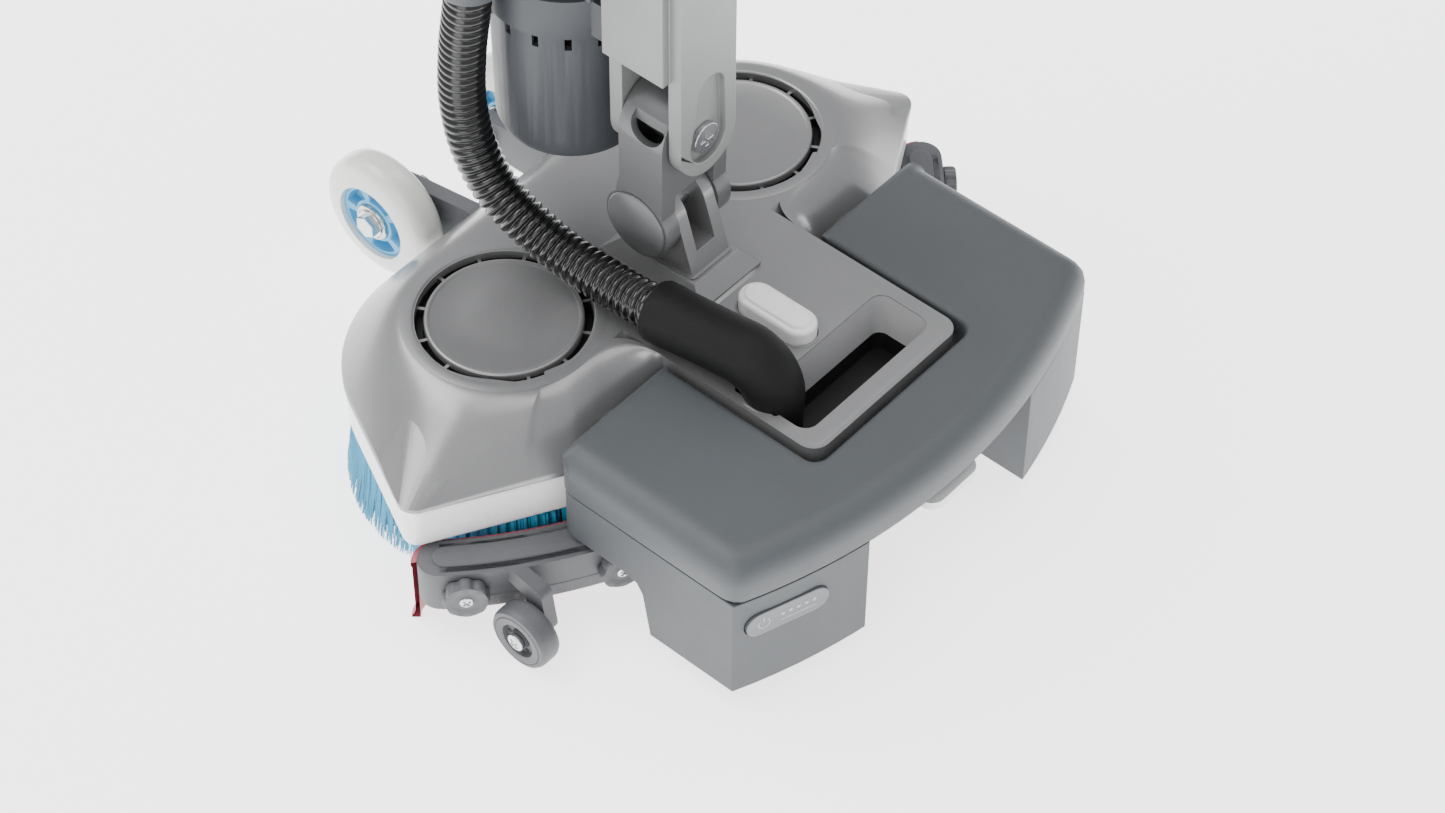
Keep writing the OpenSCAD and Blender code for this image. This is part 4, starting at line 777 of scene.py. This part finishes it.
def knobs():
    v = knobValues
    for a, label in ((-v["angles"][0], "left_outer"), (-v["angles"][1], "left_inner"),
                     (v["angles"][1], "right_inner"), (v["angles"][0], "right_outer")):
        rad = math.radians(a)
        out = np.array([math.sin(rad), -math.cos(rad), 0.0])
        side = np.array([math.cos(rad), math.sin(rad), 0.0])
        base = np.array([0, squeegeeValues["centerY"], v["z"]]) + out * (squeegeeValues["outer"] + v["gap"])
        count = 128
        t = np.linspace(0, 2 * math.pi, count, endpoint=False)
        # scalloped edge: r = R - depth (0.5 - 0.5 cos(lobes t))^2
        edge = v["radius"] - 0.15 - v["depth"] * (0.5 - 0.5 * np.cos(v["lobes"] * t)) ** 2
        rows = []
        for share, d in ((0.75, 0.2), (0.98, 0.6), (1.0, 1.6), (1.0, 5.6), (0.96, 6.8), (0.88, 7.3), (0.6, 7.1),
                         (0.52, 6.6), (0.42, 6.8), (0.01, 6.8)):
            blendR = share * edge if share > 0.9 else share * v["radius"] * np.ones(count)
            rows.append(base + d * out + (blendR * np.cos(t))[:, None] * side
                        + (blendR * np.sin(t))[:, None] * np.array([0, 0, 1.0]))
        obj = finishMesh(label + "Knob", np.concatenate(rows), gridFaces(len(rows), count, closeCols=True),
                         "darkGrey", angle=40)
        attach(outward(obj), label + "_knob")
        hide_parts(label + "_knob")
        zincScrew(base + 6.9 * out, out, 3.6, label + "_knob", label + "Screw")


knobs()

rollerValues = {"x": 187.0, "y": -67.0, "radius": 18.5, "width": 14.0}


def rollers():
    v = rollerValues
    h = v["width"] / 2
    tread = [[15.4, -h], [v["radius"] - 1.2, -h + 0.6], [v["radius"] - 0.2, -h + 2.4], [v["radius"], -h + 4],
             [v["radius"], h - 4], [v["radius"] - 0.2, h - 2.4], [v["radius"] - 1.2, h - 0.6], [15.4, h]]
    rim = [[15.4, -h], [3.06, -h], [3.06, h - 1.5], [5.4, h - 1.2], [5.9, h - 3.4], [9.6, h - 3.4],
           [10.4, h - 0.4],
           [11.4, h], [14.6, h], [15.0, h - 0.5], [15.4, h]]
    for side, label in ((-1, "left"), (1, "right")):
        c = (side * v["x"], v["y"], v["radius"])
        a = lathe("tread", tread, c, (side, 0, 0), "darkGrey", 96)
        b = lathe("rim", rim, c, (side, 0, 0), "darkGrey", 96)
        obj = joined(label + "RollerBody", [a, b])
        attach(outward(obj), label + "_roller")
        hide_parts(label + "_roller")
        for k in range(6):
            t = k * math.pi / 3
            spot = (c[0] + side * (h - 3.3), c[1] + 7.8 * math.cos(t), c[2] + 7.8 * math.sin(t))
            pocket = lathe("pocket", [[1.5, 0.05], [1.2, 0.12], [0.01, 0.1]], spot, (side, 0, 0),
                           "blackPlastic", 20)
            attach(pocket, label + "_roller")
        zincScrew((side * (v["x"] + h + 0.9), v["y"], v["radius"]), (side, 0, 0), 4.6, "squeegee",
                  label + "RollerScrew")


rollers()
print("squeegee ready")


wheelValues = {"x": 52.0, "y": 161.5, "z": 71.0, "radius": 38.0, "half": 12.0, "coreR": 23.0, "spokes": 5}


def wheels():
    v = wheelValues
    R, h = v["radius"], v["half"]
    # tyre section: a superellipse, r = core + (R - core) (1 - |s|^2.6)^(1 / 2.3), across s from -1 to 1
    t = np.linspace(-1, 1, 41)
    section = [[v["coreR"], -h + 3.4]]
    section += [[v["coreR"] + (R - v["coreR"]) * (1 - abs(s) ** 2.6) ** (1 / 2.3) * 0.999 + 0.001,
                 h * math.copysign(abs(s) ** 0.85, s)] for s in t]
    section += [[v["coreR"], h - 3.4]]
    for side, label in ((-1, "left"), (1, "right")):
        c = (side * v["x"], v["y"], v["z"])
        obj = lathe(label + "TyreBody", section, c, (side, 0, 0), "tyreWhite", 128, 60)
        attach(outward(obj), label + "_wheel")
        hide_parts(label + "_tyre")
        # core face with pockets between the spokes
        for face in (1, -1):
            count, radii = 180, [v["coreR"] + 0.4, 21.6, 21.0, 20.2, 19.0, 14.2, 13.2, 12.4, 11.4, 11.2]
            a = np.linspace(0, 2 * math.pi, count, endpoint=False)
            spoke = np.clip((np.cos(a * v["spokes"]) - 0.55) * 8, 0, 1)
            depth = np.array([3.2, 2.8, 2.6, 2.9, 8.5, 8.5, 2.9, 2.5, 2.5, 3.6])
            rows = []
            for r, d in zip(radii, depth):
                dd = np.where(d > 5, 3.1 + (1 - spoke) * (d - 3.1), d)
                w = face * (h - dd)
                rows.append(np.column_stack([np.full(count, c[0]) + side * w, c[1] + r * np.cos(a),
                                             c[2] + r * np.sin(a)]))
            core = finishMesh(label + "CoreFace", np.concatenate(rows),
                              gridFaces(len(radii), count, closeCols=True),
                              "hubBlue", angle=35)
            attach(outward(core), label + "_wheel")
            race = [[11.2, h - 2.6], [11.0, h - 0.9], [10.6, h - 0.5], [9.4, h - 0.5], [9.2, h - 1.0],
                    [7.0, h - 1.0],
                    [6.8, h - 0.5], [5.0, h - 0.5], [4.1, h - 0.8], [4.1, h - 3]]
            ring = lathe(label + "Race", race, c, (side * face, 0, 0), "bearing", 72, 25)
            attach(outward(ring), label + "_wheel")
        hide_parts(label + "_wheel_core")
        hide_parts(label + "_bearings")
        # washer under the bolt's head
        x0 = side * (v["x"] + h - 0.4)
        washer = lathe(label + "Washer", [[8.6, -0.6], [8.6, 0.5], [8.3, 0.9], [0.01, 0.9]], (x0, c[1], c[2]),
                       (side, 0, 0), "zinc", 48)
        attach(outward(washer), "deck")


wheels()
print("wheels ready")


# ---- suction hose and elbow ----

hoseValues = {
    "points": [(-47.5, -44, 127.5), (-49, -33.5, 127.5), (-50, -10.5, 126.5), (-53, 28.6, 131.7),
               (-57, 63, 149), (-58, 82, 173), (-58, 89, 204), (-58, 87, 240), (-58, 81, 279),
               (-57.3, 78.3, 318), (-57, 78, 358)],
    "split": 4, "outer": 12.5, "inner": 10.3, "pitch": 5.0,
}


def corrugated(name, path, s):
    # radius = inner + (outer - inner) |sin(pi s / pitch)|^0.7, one hump per pitch
    v = hoseValues
    hump = np.abs(np.sin(math.pi * s / v["pitch"])) ** 0.7
    return sweep(name, path, v["inner"] + (v["outer"] - v["inner"]) * hump, "hoseGloss", 40, angle=180)


def hoses():
    v = hoseValues
    full = smoothPath(v["points"], 24)
    cut = full[v["split"] * 24]
    path, s = evenPath(full, v["pitch"] / 10)
    k = int(np.argmin(np.linalg.norm(path - cut, axis=1)))
    lower = corrugated("hoseLower", path[:k + 1], s[:k + 1])
    upper = corrugated("hoseUpper", path[k:], s[k:])
    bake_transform(lower)
    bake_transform(upper)
    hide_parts("hose_lower")
    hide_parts("hose_upper")


hoses()

elbowValues = {"mouth": (-49.0, -33.5, 127.5), "turn": (-39.5, -106.0), "bend": 20.0}


def elbow():
    # straight from the mouth, a quarter bend of radius bend, then straight down into the tail
    v = elbowValues
    start = np.array(v["mouth"])
    foot = np.array([v["turn"][0], v["turn"][1]])
    d = foot - start[:2]
    length = np.linalg.norm(d)
    d = np.array([d[0] / length, d[1] / length, 0])
    corner = start + d * (length - v["bend"])
    path = [start + d * q for q in np.linspace(0, length - v["bend"], 20)]
    for a in np.linspace(0, math.pi / 2, 16)[1:]:
        path.append(corner + d * v["bend"] * math.sin(a) + np.array([0, 0, -v["bend"] * (1 - math.cos(a))]))
    low = path[-1]
    path += [low + np.array([0, 0, -q]) for q in np.linspace(3, 50, 12)]
    path = np.array(path)
    # radius in mm at distances from the mouth
    r = np.interp(runLength(path), [0, 1.2, 2.5, 12, 14, 40, 60, 85, 105, 150],
                  [15.6, 16.6, 17.0, 17.0, 16.6, 16.4, 16.9, 16.2, 15.6, 15.0])
    outer = sweep("outer", path, r, "blackRubber", 56, (1, 0.13, 0), ends=False)
    inner = lathe("lip", [[15.6, 0.0], [13.4, 0.3], [12.9, 1.2], [12.8, 8]], start, tuple(d), "blackRubber", 56)
    obj = joined("elbowBody", [outer, inner])
    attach(outward(obj), "deck")
    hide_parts("suction_elbow")


elbow()


# ---- deck button, its spring and the pivot foot ----

buttonValues = {"y": -75.0, "half": 24.0, "radius": 10.0, "low": 104.0, "top": 121.0}


def deckButton():
    v = buttonValues
    loop = stadium(v["half"] - 0.1, v["radius"] - 0.1, 20)
    turned = np.column_stack([-loop[:, 1], loop[:, 0] + v["y"]])
    body = pillow("buttonBody", turned,
                  [[v["low"], 0], [v["top"] - 4.5, 0]] + rounding(2.6, v["top"] - 2.0)[1:-1]
                  + [[v["top"] - 1.9, 2.7]], "whiteGloss", caps=(True, False))
    crown = pillow("crown", turned, [[v["top"] - 1.9, 2.7], [v["top"] - 1.2, 3.0], [v["top"] - 0.4, 3.6],
                                     [v["top"], 4.8]], "whiteGloss", caps=(False, True))
    obj = joined("deckButton", [body, crown])
    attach(outward(obj), "deck_button")
    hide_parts("deck_button")
    collar = pillow("buttonCollar", turned,
                    [[109.5, -1.6], [110.35, -1.4], [110.5, -1.0], [110.3, -0.5], [106, -0.45]],
                    "deckSilver", caps=(False, False))
    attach(outward(collar), "deck")


springValues = {"radius": 5.95, "wire": 0.6, "low": 89.7, "high": 103.3, "turns": 4, "keep": 0.7}


def buttonSpring():
    # helix x = r cos a, y = r sin a, with a height that grows evenly with a
    v = springValues
    a = np.linspace(0, 2 * math.pi * v["turns"], 36 * v["turns"])
    path = np.column_stack([v["radius"] * np.cos(a), buttonValues["y"] + v["radius"] * np.sin(a),
                            v["low"] + (v["high"] - v["low"]) * a / a[-1]])
    obj = sweep("springCoil", path, v["wire"], "zinc", 10, (0, 0, 1))
    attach(outward(obj), "deck")
    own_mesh(obj)
    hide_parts("button_spring")


deckButton()
buttonSpring()


footValues = {"half": 24.0, "front": 28.0, "rear": -45.0, "top": 121.0, "neckHalf": 16.2, "neckFront": 17.5,
              "neckRear": -31.0, "flare": 2.2}


def pivotFoot():
    # plan outline shrinks from the deck to the ears as (1 - h)^flare
    v = footValues
    base = deckValues["top"]
    layers = []
    count = 14

    def roundBox(hx, y0, y1, r):
        return np.concatenate([arcPoints(hx - r, y0 + r, r, -90, 0, 8), arcPoints(hx - r, y1 - r, r, 0, 90, 8),
                               arcPoints(-hx + r, y1 - r, r, 90, 180, 8),
                               arcPoints(-hx + r, y0 + r, r, 180, 270, 8)])
    wide = roundBox(v["half"], v["rear"], v["front"], 9.0)
    tall = roundBox(v["neckHalf"], v["neckRear"], v["neckFront"], 3.0)
    for k in range(count):
        h = k / (count - 1)
        share = (1 - h) ** v["flare"]
        ring = tall + (wide - tall) * share
        layers.append(np.column_stack([ring, np.full(len(ring), base + 0.02 + (v["top"] - base) * h)]))
    n = len(wide)
    faces = gridFaces(count, n, closeCols=True)
    faces.append(list(range((count - 1) * n, count * n)))
    obj = finishMesh("pivotFoot", np.concatenate(layers), faces, "deckSilver", angle=50)
    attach(outward(obj), "deck")


pivotFoot()
print("hose, elbow and button ready")


# ---- battery ----

batteryValues = {"half": 144.0, "front": -49.5, "slot": 62.8, "slotBack": -154.0, "arcR": 357.0, "back": -199.5,
                 "seam": 83.0, "top": 109.0, "round": 15.0, "seamGap": 0.7,
                 "frontR": 12.0, "mouthR": 5.0, "slotR": 8.0}


def batteryOutline():
    # plan outline: the curved back, then the right corner, arm and half of the slot, then their mirror image
    v = batteryValues
    cy = v["arcR"] + v["back"]
    edge = math.degrees(math.asin((v["half"] - 7) / v["arcR"]))
    yEdge = cy - math.sqrt(v["arcR"] ** 2 - v["half"] ** 2)
    pts = [arcPoints(0, cy, v["arcR"], -90 - edge, -90 + edge, 60)]
    corner = pts[0][-1]
    # small round corner between the curved back and the straight side
    pts.append(np.array([[v["half"] - 3.2, corner[1] + 2.6], [v["half"] - 0.9, corner[1] + 6.0],
                         [v["half"], corner[1] + 11]]))
    frontR, mouthR, slotR = v["frontR"], v["mouthR"], v["slotR"]
    pts.append(arcPoints(v["half"] - frontR, v["front"] - frontR, frontR, 0, 90, 12))
    pts.append(arcPoints(v["slot"] + mouthR, v["front"] - mouthR, mouthR, 90, 180, 6))
    pts.append(arcPoints(v["slot"] - slotR, v["slotBack"] + slotR, slotR, 0, -90, 8))
    right = np.concatenate(pts)
    left = right[len(pts[0]):][::-1] * [-1, 1]
    return np.concatenate([right, left])


def toLine(points, line):
    # shortest distance of each point to the polyline
    a, b = line[:-1], line[1:]
    ab = b - a
    best = np.full(len(points), 1e9)
    for k in range(len(a)):
        q = points - a[k]
        t = np.clip((q @ ab[k]) / max(ab[k] @ ab[k], 1e-12), 0, 1)
        best = np.minimum(best, np.linalg.norm(q - t[:, None] * ab[k], axis=1))
    return best


def rolled(d, r):
    # drop below the top at distance d from an edge rounded with radius r
    d = np.clip(d, 0, r)
    return r - np.sqrt(np.maximum(r * r - (r - d) ** 2, 0))


def batteryTop():
    # rows run from the outer edge to the slot; z = top - the drops of the three edges
    v = batteryValues
    cy = v["arcR"] + v["back"]
    front = v["front"]
    ys = front - np.concatenate([12 * (1 - np.cos(np.linspace(0, math.pi / 2, 12))), np.linspace(14, 96, 34)])
    outerX = -(v["half"] - 12 + np.sqrt(np.maximum(144 - np.maximum(ys - (front - 12), 0) ** 2, 0)))
    innerX = -(v["slot"] + 5 - np.sqrt(np.maximum(25 - np.maximum(ys - (front - 5), 0) ** 2, 0)))
    outer = [[x, y] for x, y in zip(outerX, ys)]
    inner = [[x, y] for x, y in zip(innerX, ys)]
    xb = np.linspace(-134, 0, 44)
    bend = np.array([[-144, -152], [-144, -158], [-143.6, -163.5], [-142.2, -167.8], [-139, -171.2]])
    rear = np.column_stack([xb, cy - np.sqrt(v["arcR"] ** 2 - xb ** 2)])
    outer += bend.tolist() + rear.tolist()
    slot = np.concatenate([[[-v["slot"], -146.5]],
                           arcPoints(-v["slot"] + 8, v["slotBack"] + 8, 8, 180, 270, 9)])
    flat = np.column_stack([np.linspace(-53, 0, len(bend) + len(rear) - len(slot)),
                            np.full(len(bend) + len(rear) - len(slot), v["slotBack"])])
    inner += slot.tolist() + flat.tolist()
    outer, inner = np.array(outer), np.array(inner)
    outer = np.concatenate([outer, outer[-2::-1] * [-1, 1]])
    inner = np.concatenate([inner, inner[-2::-1] * [-1, 1]])
    n = len(outer)
    # across: dense near both edges
    w = 0.5 - 0.5 * np.cos(np.linspace(0, math.pi, 34))
    plan = outer[:, None] + (inner - outer)[:, None] * w[None, :, None]
    flatPlan = plan.reshape(-1, 2)
    z = v["top"] - rolled(toLine(flatPlan, outer[10:-10]), v["round"])
    z -= rolled(toLine(flatPlan, inner[8:-8]), 3.0)
    z -= rolled(front - flatPlan[:, 1], 7.0)
    z = np.maximum(z, v["top"] - v["round"] - 3)
    cols = len(w)
    verts = np.column_stack([flatPlan, z])
    faces = gridFaces(n, cols)
    edge = [i * cols for i in range(n)] + [(n - 1) * cols + j for j in range(1, cols)]
    edge += [i * cols + cols - 1 for i in range(n - 2, -1, -1)] + [j for j in range(cols - 2, 0, -1)]
    loop = flatPlan[edge]
    blocks, start = [verts], len(verts)
    below = edge
    inward = 1 if shoelace(loop) > 0 else -1
    for height, inset in ((v["seam"] + 2.2, 0.0), (v["seam"] + v["seamGap"] + 0.5, 0.25),
                          (v["seam"] + v["seamGap"], 1.1)):
        ring = insetLoop(loop, inset * inward)
        blocks.append(np.column_stack([ring, np.full(len(ring), height)]))
        now = list(range(start, start + len(ring)))
        for k in range(len(ring)):
            m = (k + 1) % len(ring)
            faces.append([below[k], below[m], now[m], now[k]])
        below, start = now, start + len(ring)
    obj = finishMesh("batteryShell", np.concatenate(blocks), faces, "slate", angle=50)
    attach(outward(obj), "battery")
    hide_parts("battery_top")


def shoelace(loop):
    # signed area, positive when the loop runs counter-clockwise
    x, y = loop[:, 0], loop[:, 1]
    return 0.5 * float(np.sum(x * np.roll(y, -1) - np.roll(x, -1) * y))


batteryTop()


def batterySeam():
    # dark line in the gap between the shells
    v = batteryValues
    obj = pillow("batterySeal", batteryOutline(), [[v["seam"] - 1.2, 1.3], [v["seam"] + 1.4, 1.3]],
                 "blackPlastic", caps=(False, False))
    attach(outward(obj), "battery")


batterySeam()

gaugeValues = {"x": -115.0, "z": 62.0, "half": 24.0, "radius": 8.0, "dots": 5}


def gaugeFace():
    v = gaugeValues
    arcR = batteryValues["arcR"]
    turn = math.asin(v["x"] / arcR)
    y = arcR + batteryValues["back"] - math.sqrt(arcR ** 2 - v["x"] ** 2)
    # local frame: along follows the battery's back, out points away from it
    along = np.array([math.cos(turn), math.sin(turn), 0])
    out = np.array([math.sin(turn), -math.cos(turn), 0])
    origin = np.array([v["x"], y, v["z"]])

    def place(p):
        return origin + p[:, :1] * along + p[:, 1:2] * np.array([0, 0, 1.0]) + p[:, 2:3] * out

    plate = pillow("gaugePlate", stadium(v["half"], v["radius"], 16),
                   [[-1.4, 0], [0.15, 0], [0.35, 0.3], [0.3, 0.9]],
                   "gaugeGrey", place=place)
    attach(outward(plate), "battery")
    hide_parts("battery_gauge")
    parts = []
    # power mark: an open ring and a short bar
    t = np.radians(np.linspace(125, 415, 30))
    ring = np.concatenate([np.column_stack([-14 + 3.6 * np.cos(t), 3.6 * np.sin(t)]),
                           np.column_stack([-14 + 2.9 * np.cos(t[::-1]), 2.9 * np.sin(t[::-1])])])
    parts.append(pillow("mark", ring, [[0.3, 0], [0.42, 0]], "symbolGrey", place=place))
    bar = np.array([[-14.4, 1.0], [-13.6, 1.0], [-13.6, 4.6], [-14.4, 4.6]])
    parts.append(pillow("mark", bar, [[0.3, 0], [0.42, 0]], "symbolGrey", place=place))
    for k in range(v["dots"]):
        dot = arcPoints(-3.0 + 4.6 * k, 1.3, 1.2, 0, 345, 20)
        parts.append(pillow("mark", dot, [[0.3, 0], [0.45, 0.1]], "symbolGrey", place=place))
    line = np.array([[-4.5, -3.4], [16.5, -3.4], [16.5, -2.7], [-4.5, -2.7]])
    parts.append(pillow("mark", line, [[0.3, 0], [0.42, 0]], "symbolGrey", place=place))
    marks = joined("gaugeMarks", parts)
    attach(outward(marks), "battery")


gaugeFace()
print("battery ready")


# ---- CAD nodes that are shown as they are ----

shown = {
    "deck_cover": ("deckSilver", 0), "chassis": ("blackPlastic", 0.5), "brush_motors": ("motorGrey", 0),
    "pivot_bracket": ("deckSilver", 0.9), "pitch_pin": ("zinc", 0.5),
    "recess_tray": ("blackPlastic", 0), "foot_pedal": ("whiteGloss", 1.2), "wheel_brackets": ("darkGrey", 0.8),
    "wheel_bolts": ("zinc", 0.5), "left_brush_plate": ("darkGrey", 0.5), "right_brush_plate": ("darkGrey", 0.5),
    "squeegee_frame": ("darkGrey", 0.6), "roller_screws": ("zinc", 0.3),
    "battery_case": ("slate", 1.6), "battery_cells": ("cellMetal", 0.5), "yoke": ("castGrey", 1.0),
    "yoke_caps": ("castGrey", 0.5), "roll_bolt": ("zinc", 0.4), "lower_column": ("columnGrey", 1.6),
    "upper_column": ("columnGrey", 0.6), "motor_housing": ("housingBlue", 0.7),
    "suction_motor": ("motorGrey", 0.5),
    "hose_clip": ("slate", 0.6), "recovery_tank": ("slate", 1.0), "recovery_lid": ("smokyLid", 1.0),
    "float_valve": ("whiteGloss", 0.4), "float_ball": ("hubBlue", 0), "solution_tank": ("tankWhite", 1.0),
    "filler_cap": ("hubBlue", 0.5), "tank_shelves": ("darkGrey", 0.6), "handle_tube": ("columnGrey", 0.3),
    "handle_head": ("slate", 1.0), "grips": ("blackRubber", 0.5), "trigger": ("hubBlue", 0.8),
    "power_button": ("hubBlue", 0.8),
}
for node, (material, bevel) in shown.items():
    cad(node, material, bevel)
print("CAD nodes ready")


# ---- stage, light and camera ----

def studio():
    mesh = bpy.data.meshes.new("floor")
    s = 30.0
    corners = [(-s, -s, -0.0006), (s, -s, -0.0006), (s, s, -0.0006), (-s, s, -0.0006)]
    mesh.from_pydata(corners, [], [(0, 1, 2, 3)])
    floor = bpy.data.objects.new("floor", mesh)
    bpy.context.scene.collection.objects.link(floor)
    mat = surface("floorPale", (0.93, 0.93, 0.93), rough=0.75, spread=0.003, depth=0.0, smudge=0.0)
    shine = mat.node_tree.nodes["Principled BSDF"].inputs
    shine["Emission Color"].default_value = (1.0, 1.0, 1.0, 1.0)
    shine["Emission Strength"].default_value = 2.2
    mesh.materials.append(mat)
    world = bpy.data.worlds.new("studio")
    bpy.context.scene.world = world
    world.use_nodes = True
    back = world.node_tree.nodes["Background"]
    back.inputs["Color"].default_value = (0.97, 0.98, 1.0, 1.0)
    back.inputs["Strength"].default_value = 0.85
    for name, place, size, power, aim in (
            ("keySoft", (-0.6, 1.4, 2.4), (2.2, 1.4), 55.0, (0, 0, 0.1)),
            ("fillLeft", (-2.4, -0.8, 1.6), (1.6, 1.6), 26.0, (0, 0, 0.1)),
            ("topSoft", (0.5, -0.2, 3.0), (2.4, 2.4), 40.0, (0, 0, 0.1))):
        light = bpy.data.lights.new(name, "AREA")
        light.shape = "RECTANGLE"
        light.size, light.size_y = size
        light.energy = power
        lamp = bpy.data.objects.new(name, light)
        bpy.context.scene.collection.objects.link(lamp)
        lamp.location = place
        lamp.rotation_euler = (Vector(aim) - Vector(place)).to_track_quat("-Z", "Y").to_euler()


cameraValues = {"place": (-0.9906, -0.8825, 1.4659), "aim": (-0.0651, -0.0936, 0.110), "roll": 0.617,
                "lens": 89.46}


def camera():
    v = cameraValues
    lens = bpy.data.cameras.new("camera")
    lens.lens = v["lens"]
    lens.sensor_width = 36.0
    cam = bpy.data.objects.new("camera", lens)
    bpy.context.scene.collection.objects.link(cam)
    cam.location = v["place"]
    turn = (Vector(v["aim"]) - Vector(v["place"])).to_track_quat("-Z", "Y").to_matrix().to_4x4()
    turn = turn @ Matrix.Rotation(math.radians(v["roll"]), 4, "Z")
    cam.rotation_euler = turn.to_euler()
    lens.clip_end = 60.0
    bpy.context.scene.camera = cam


studio()
camera()
print("stage ready")
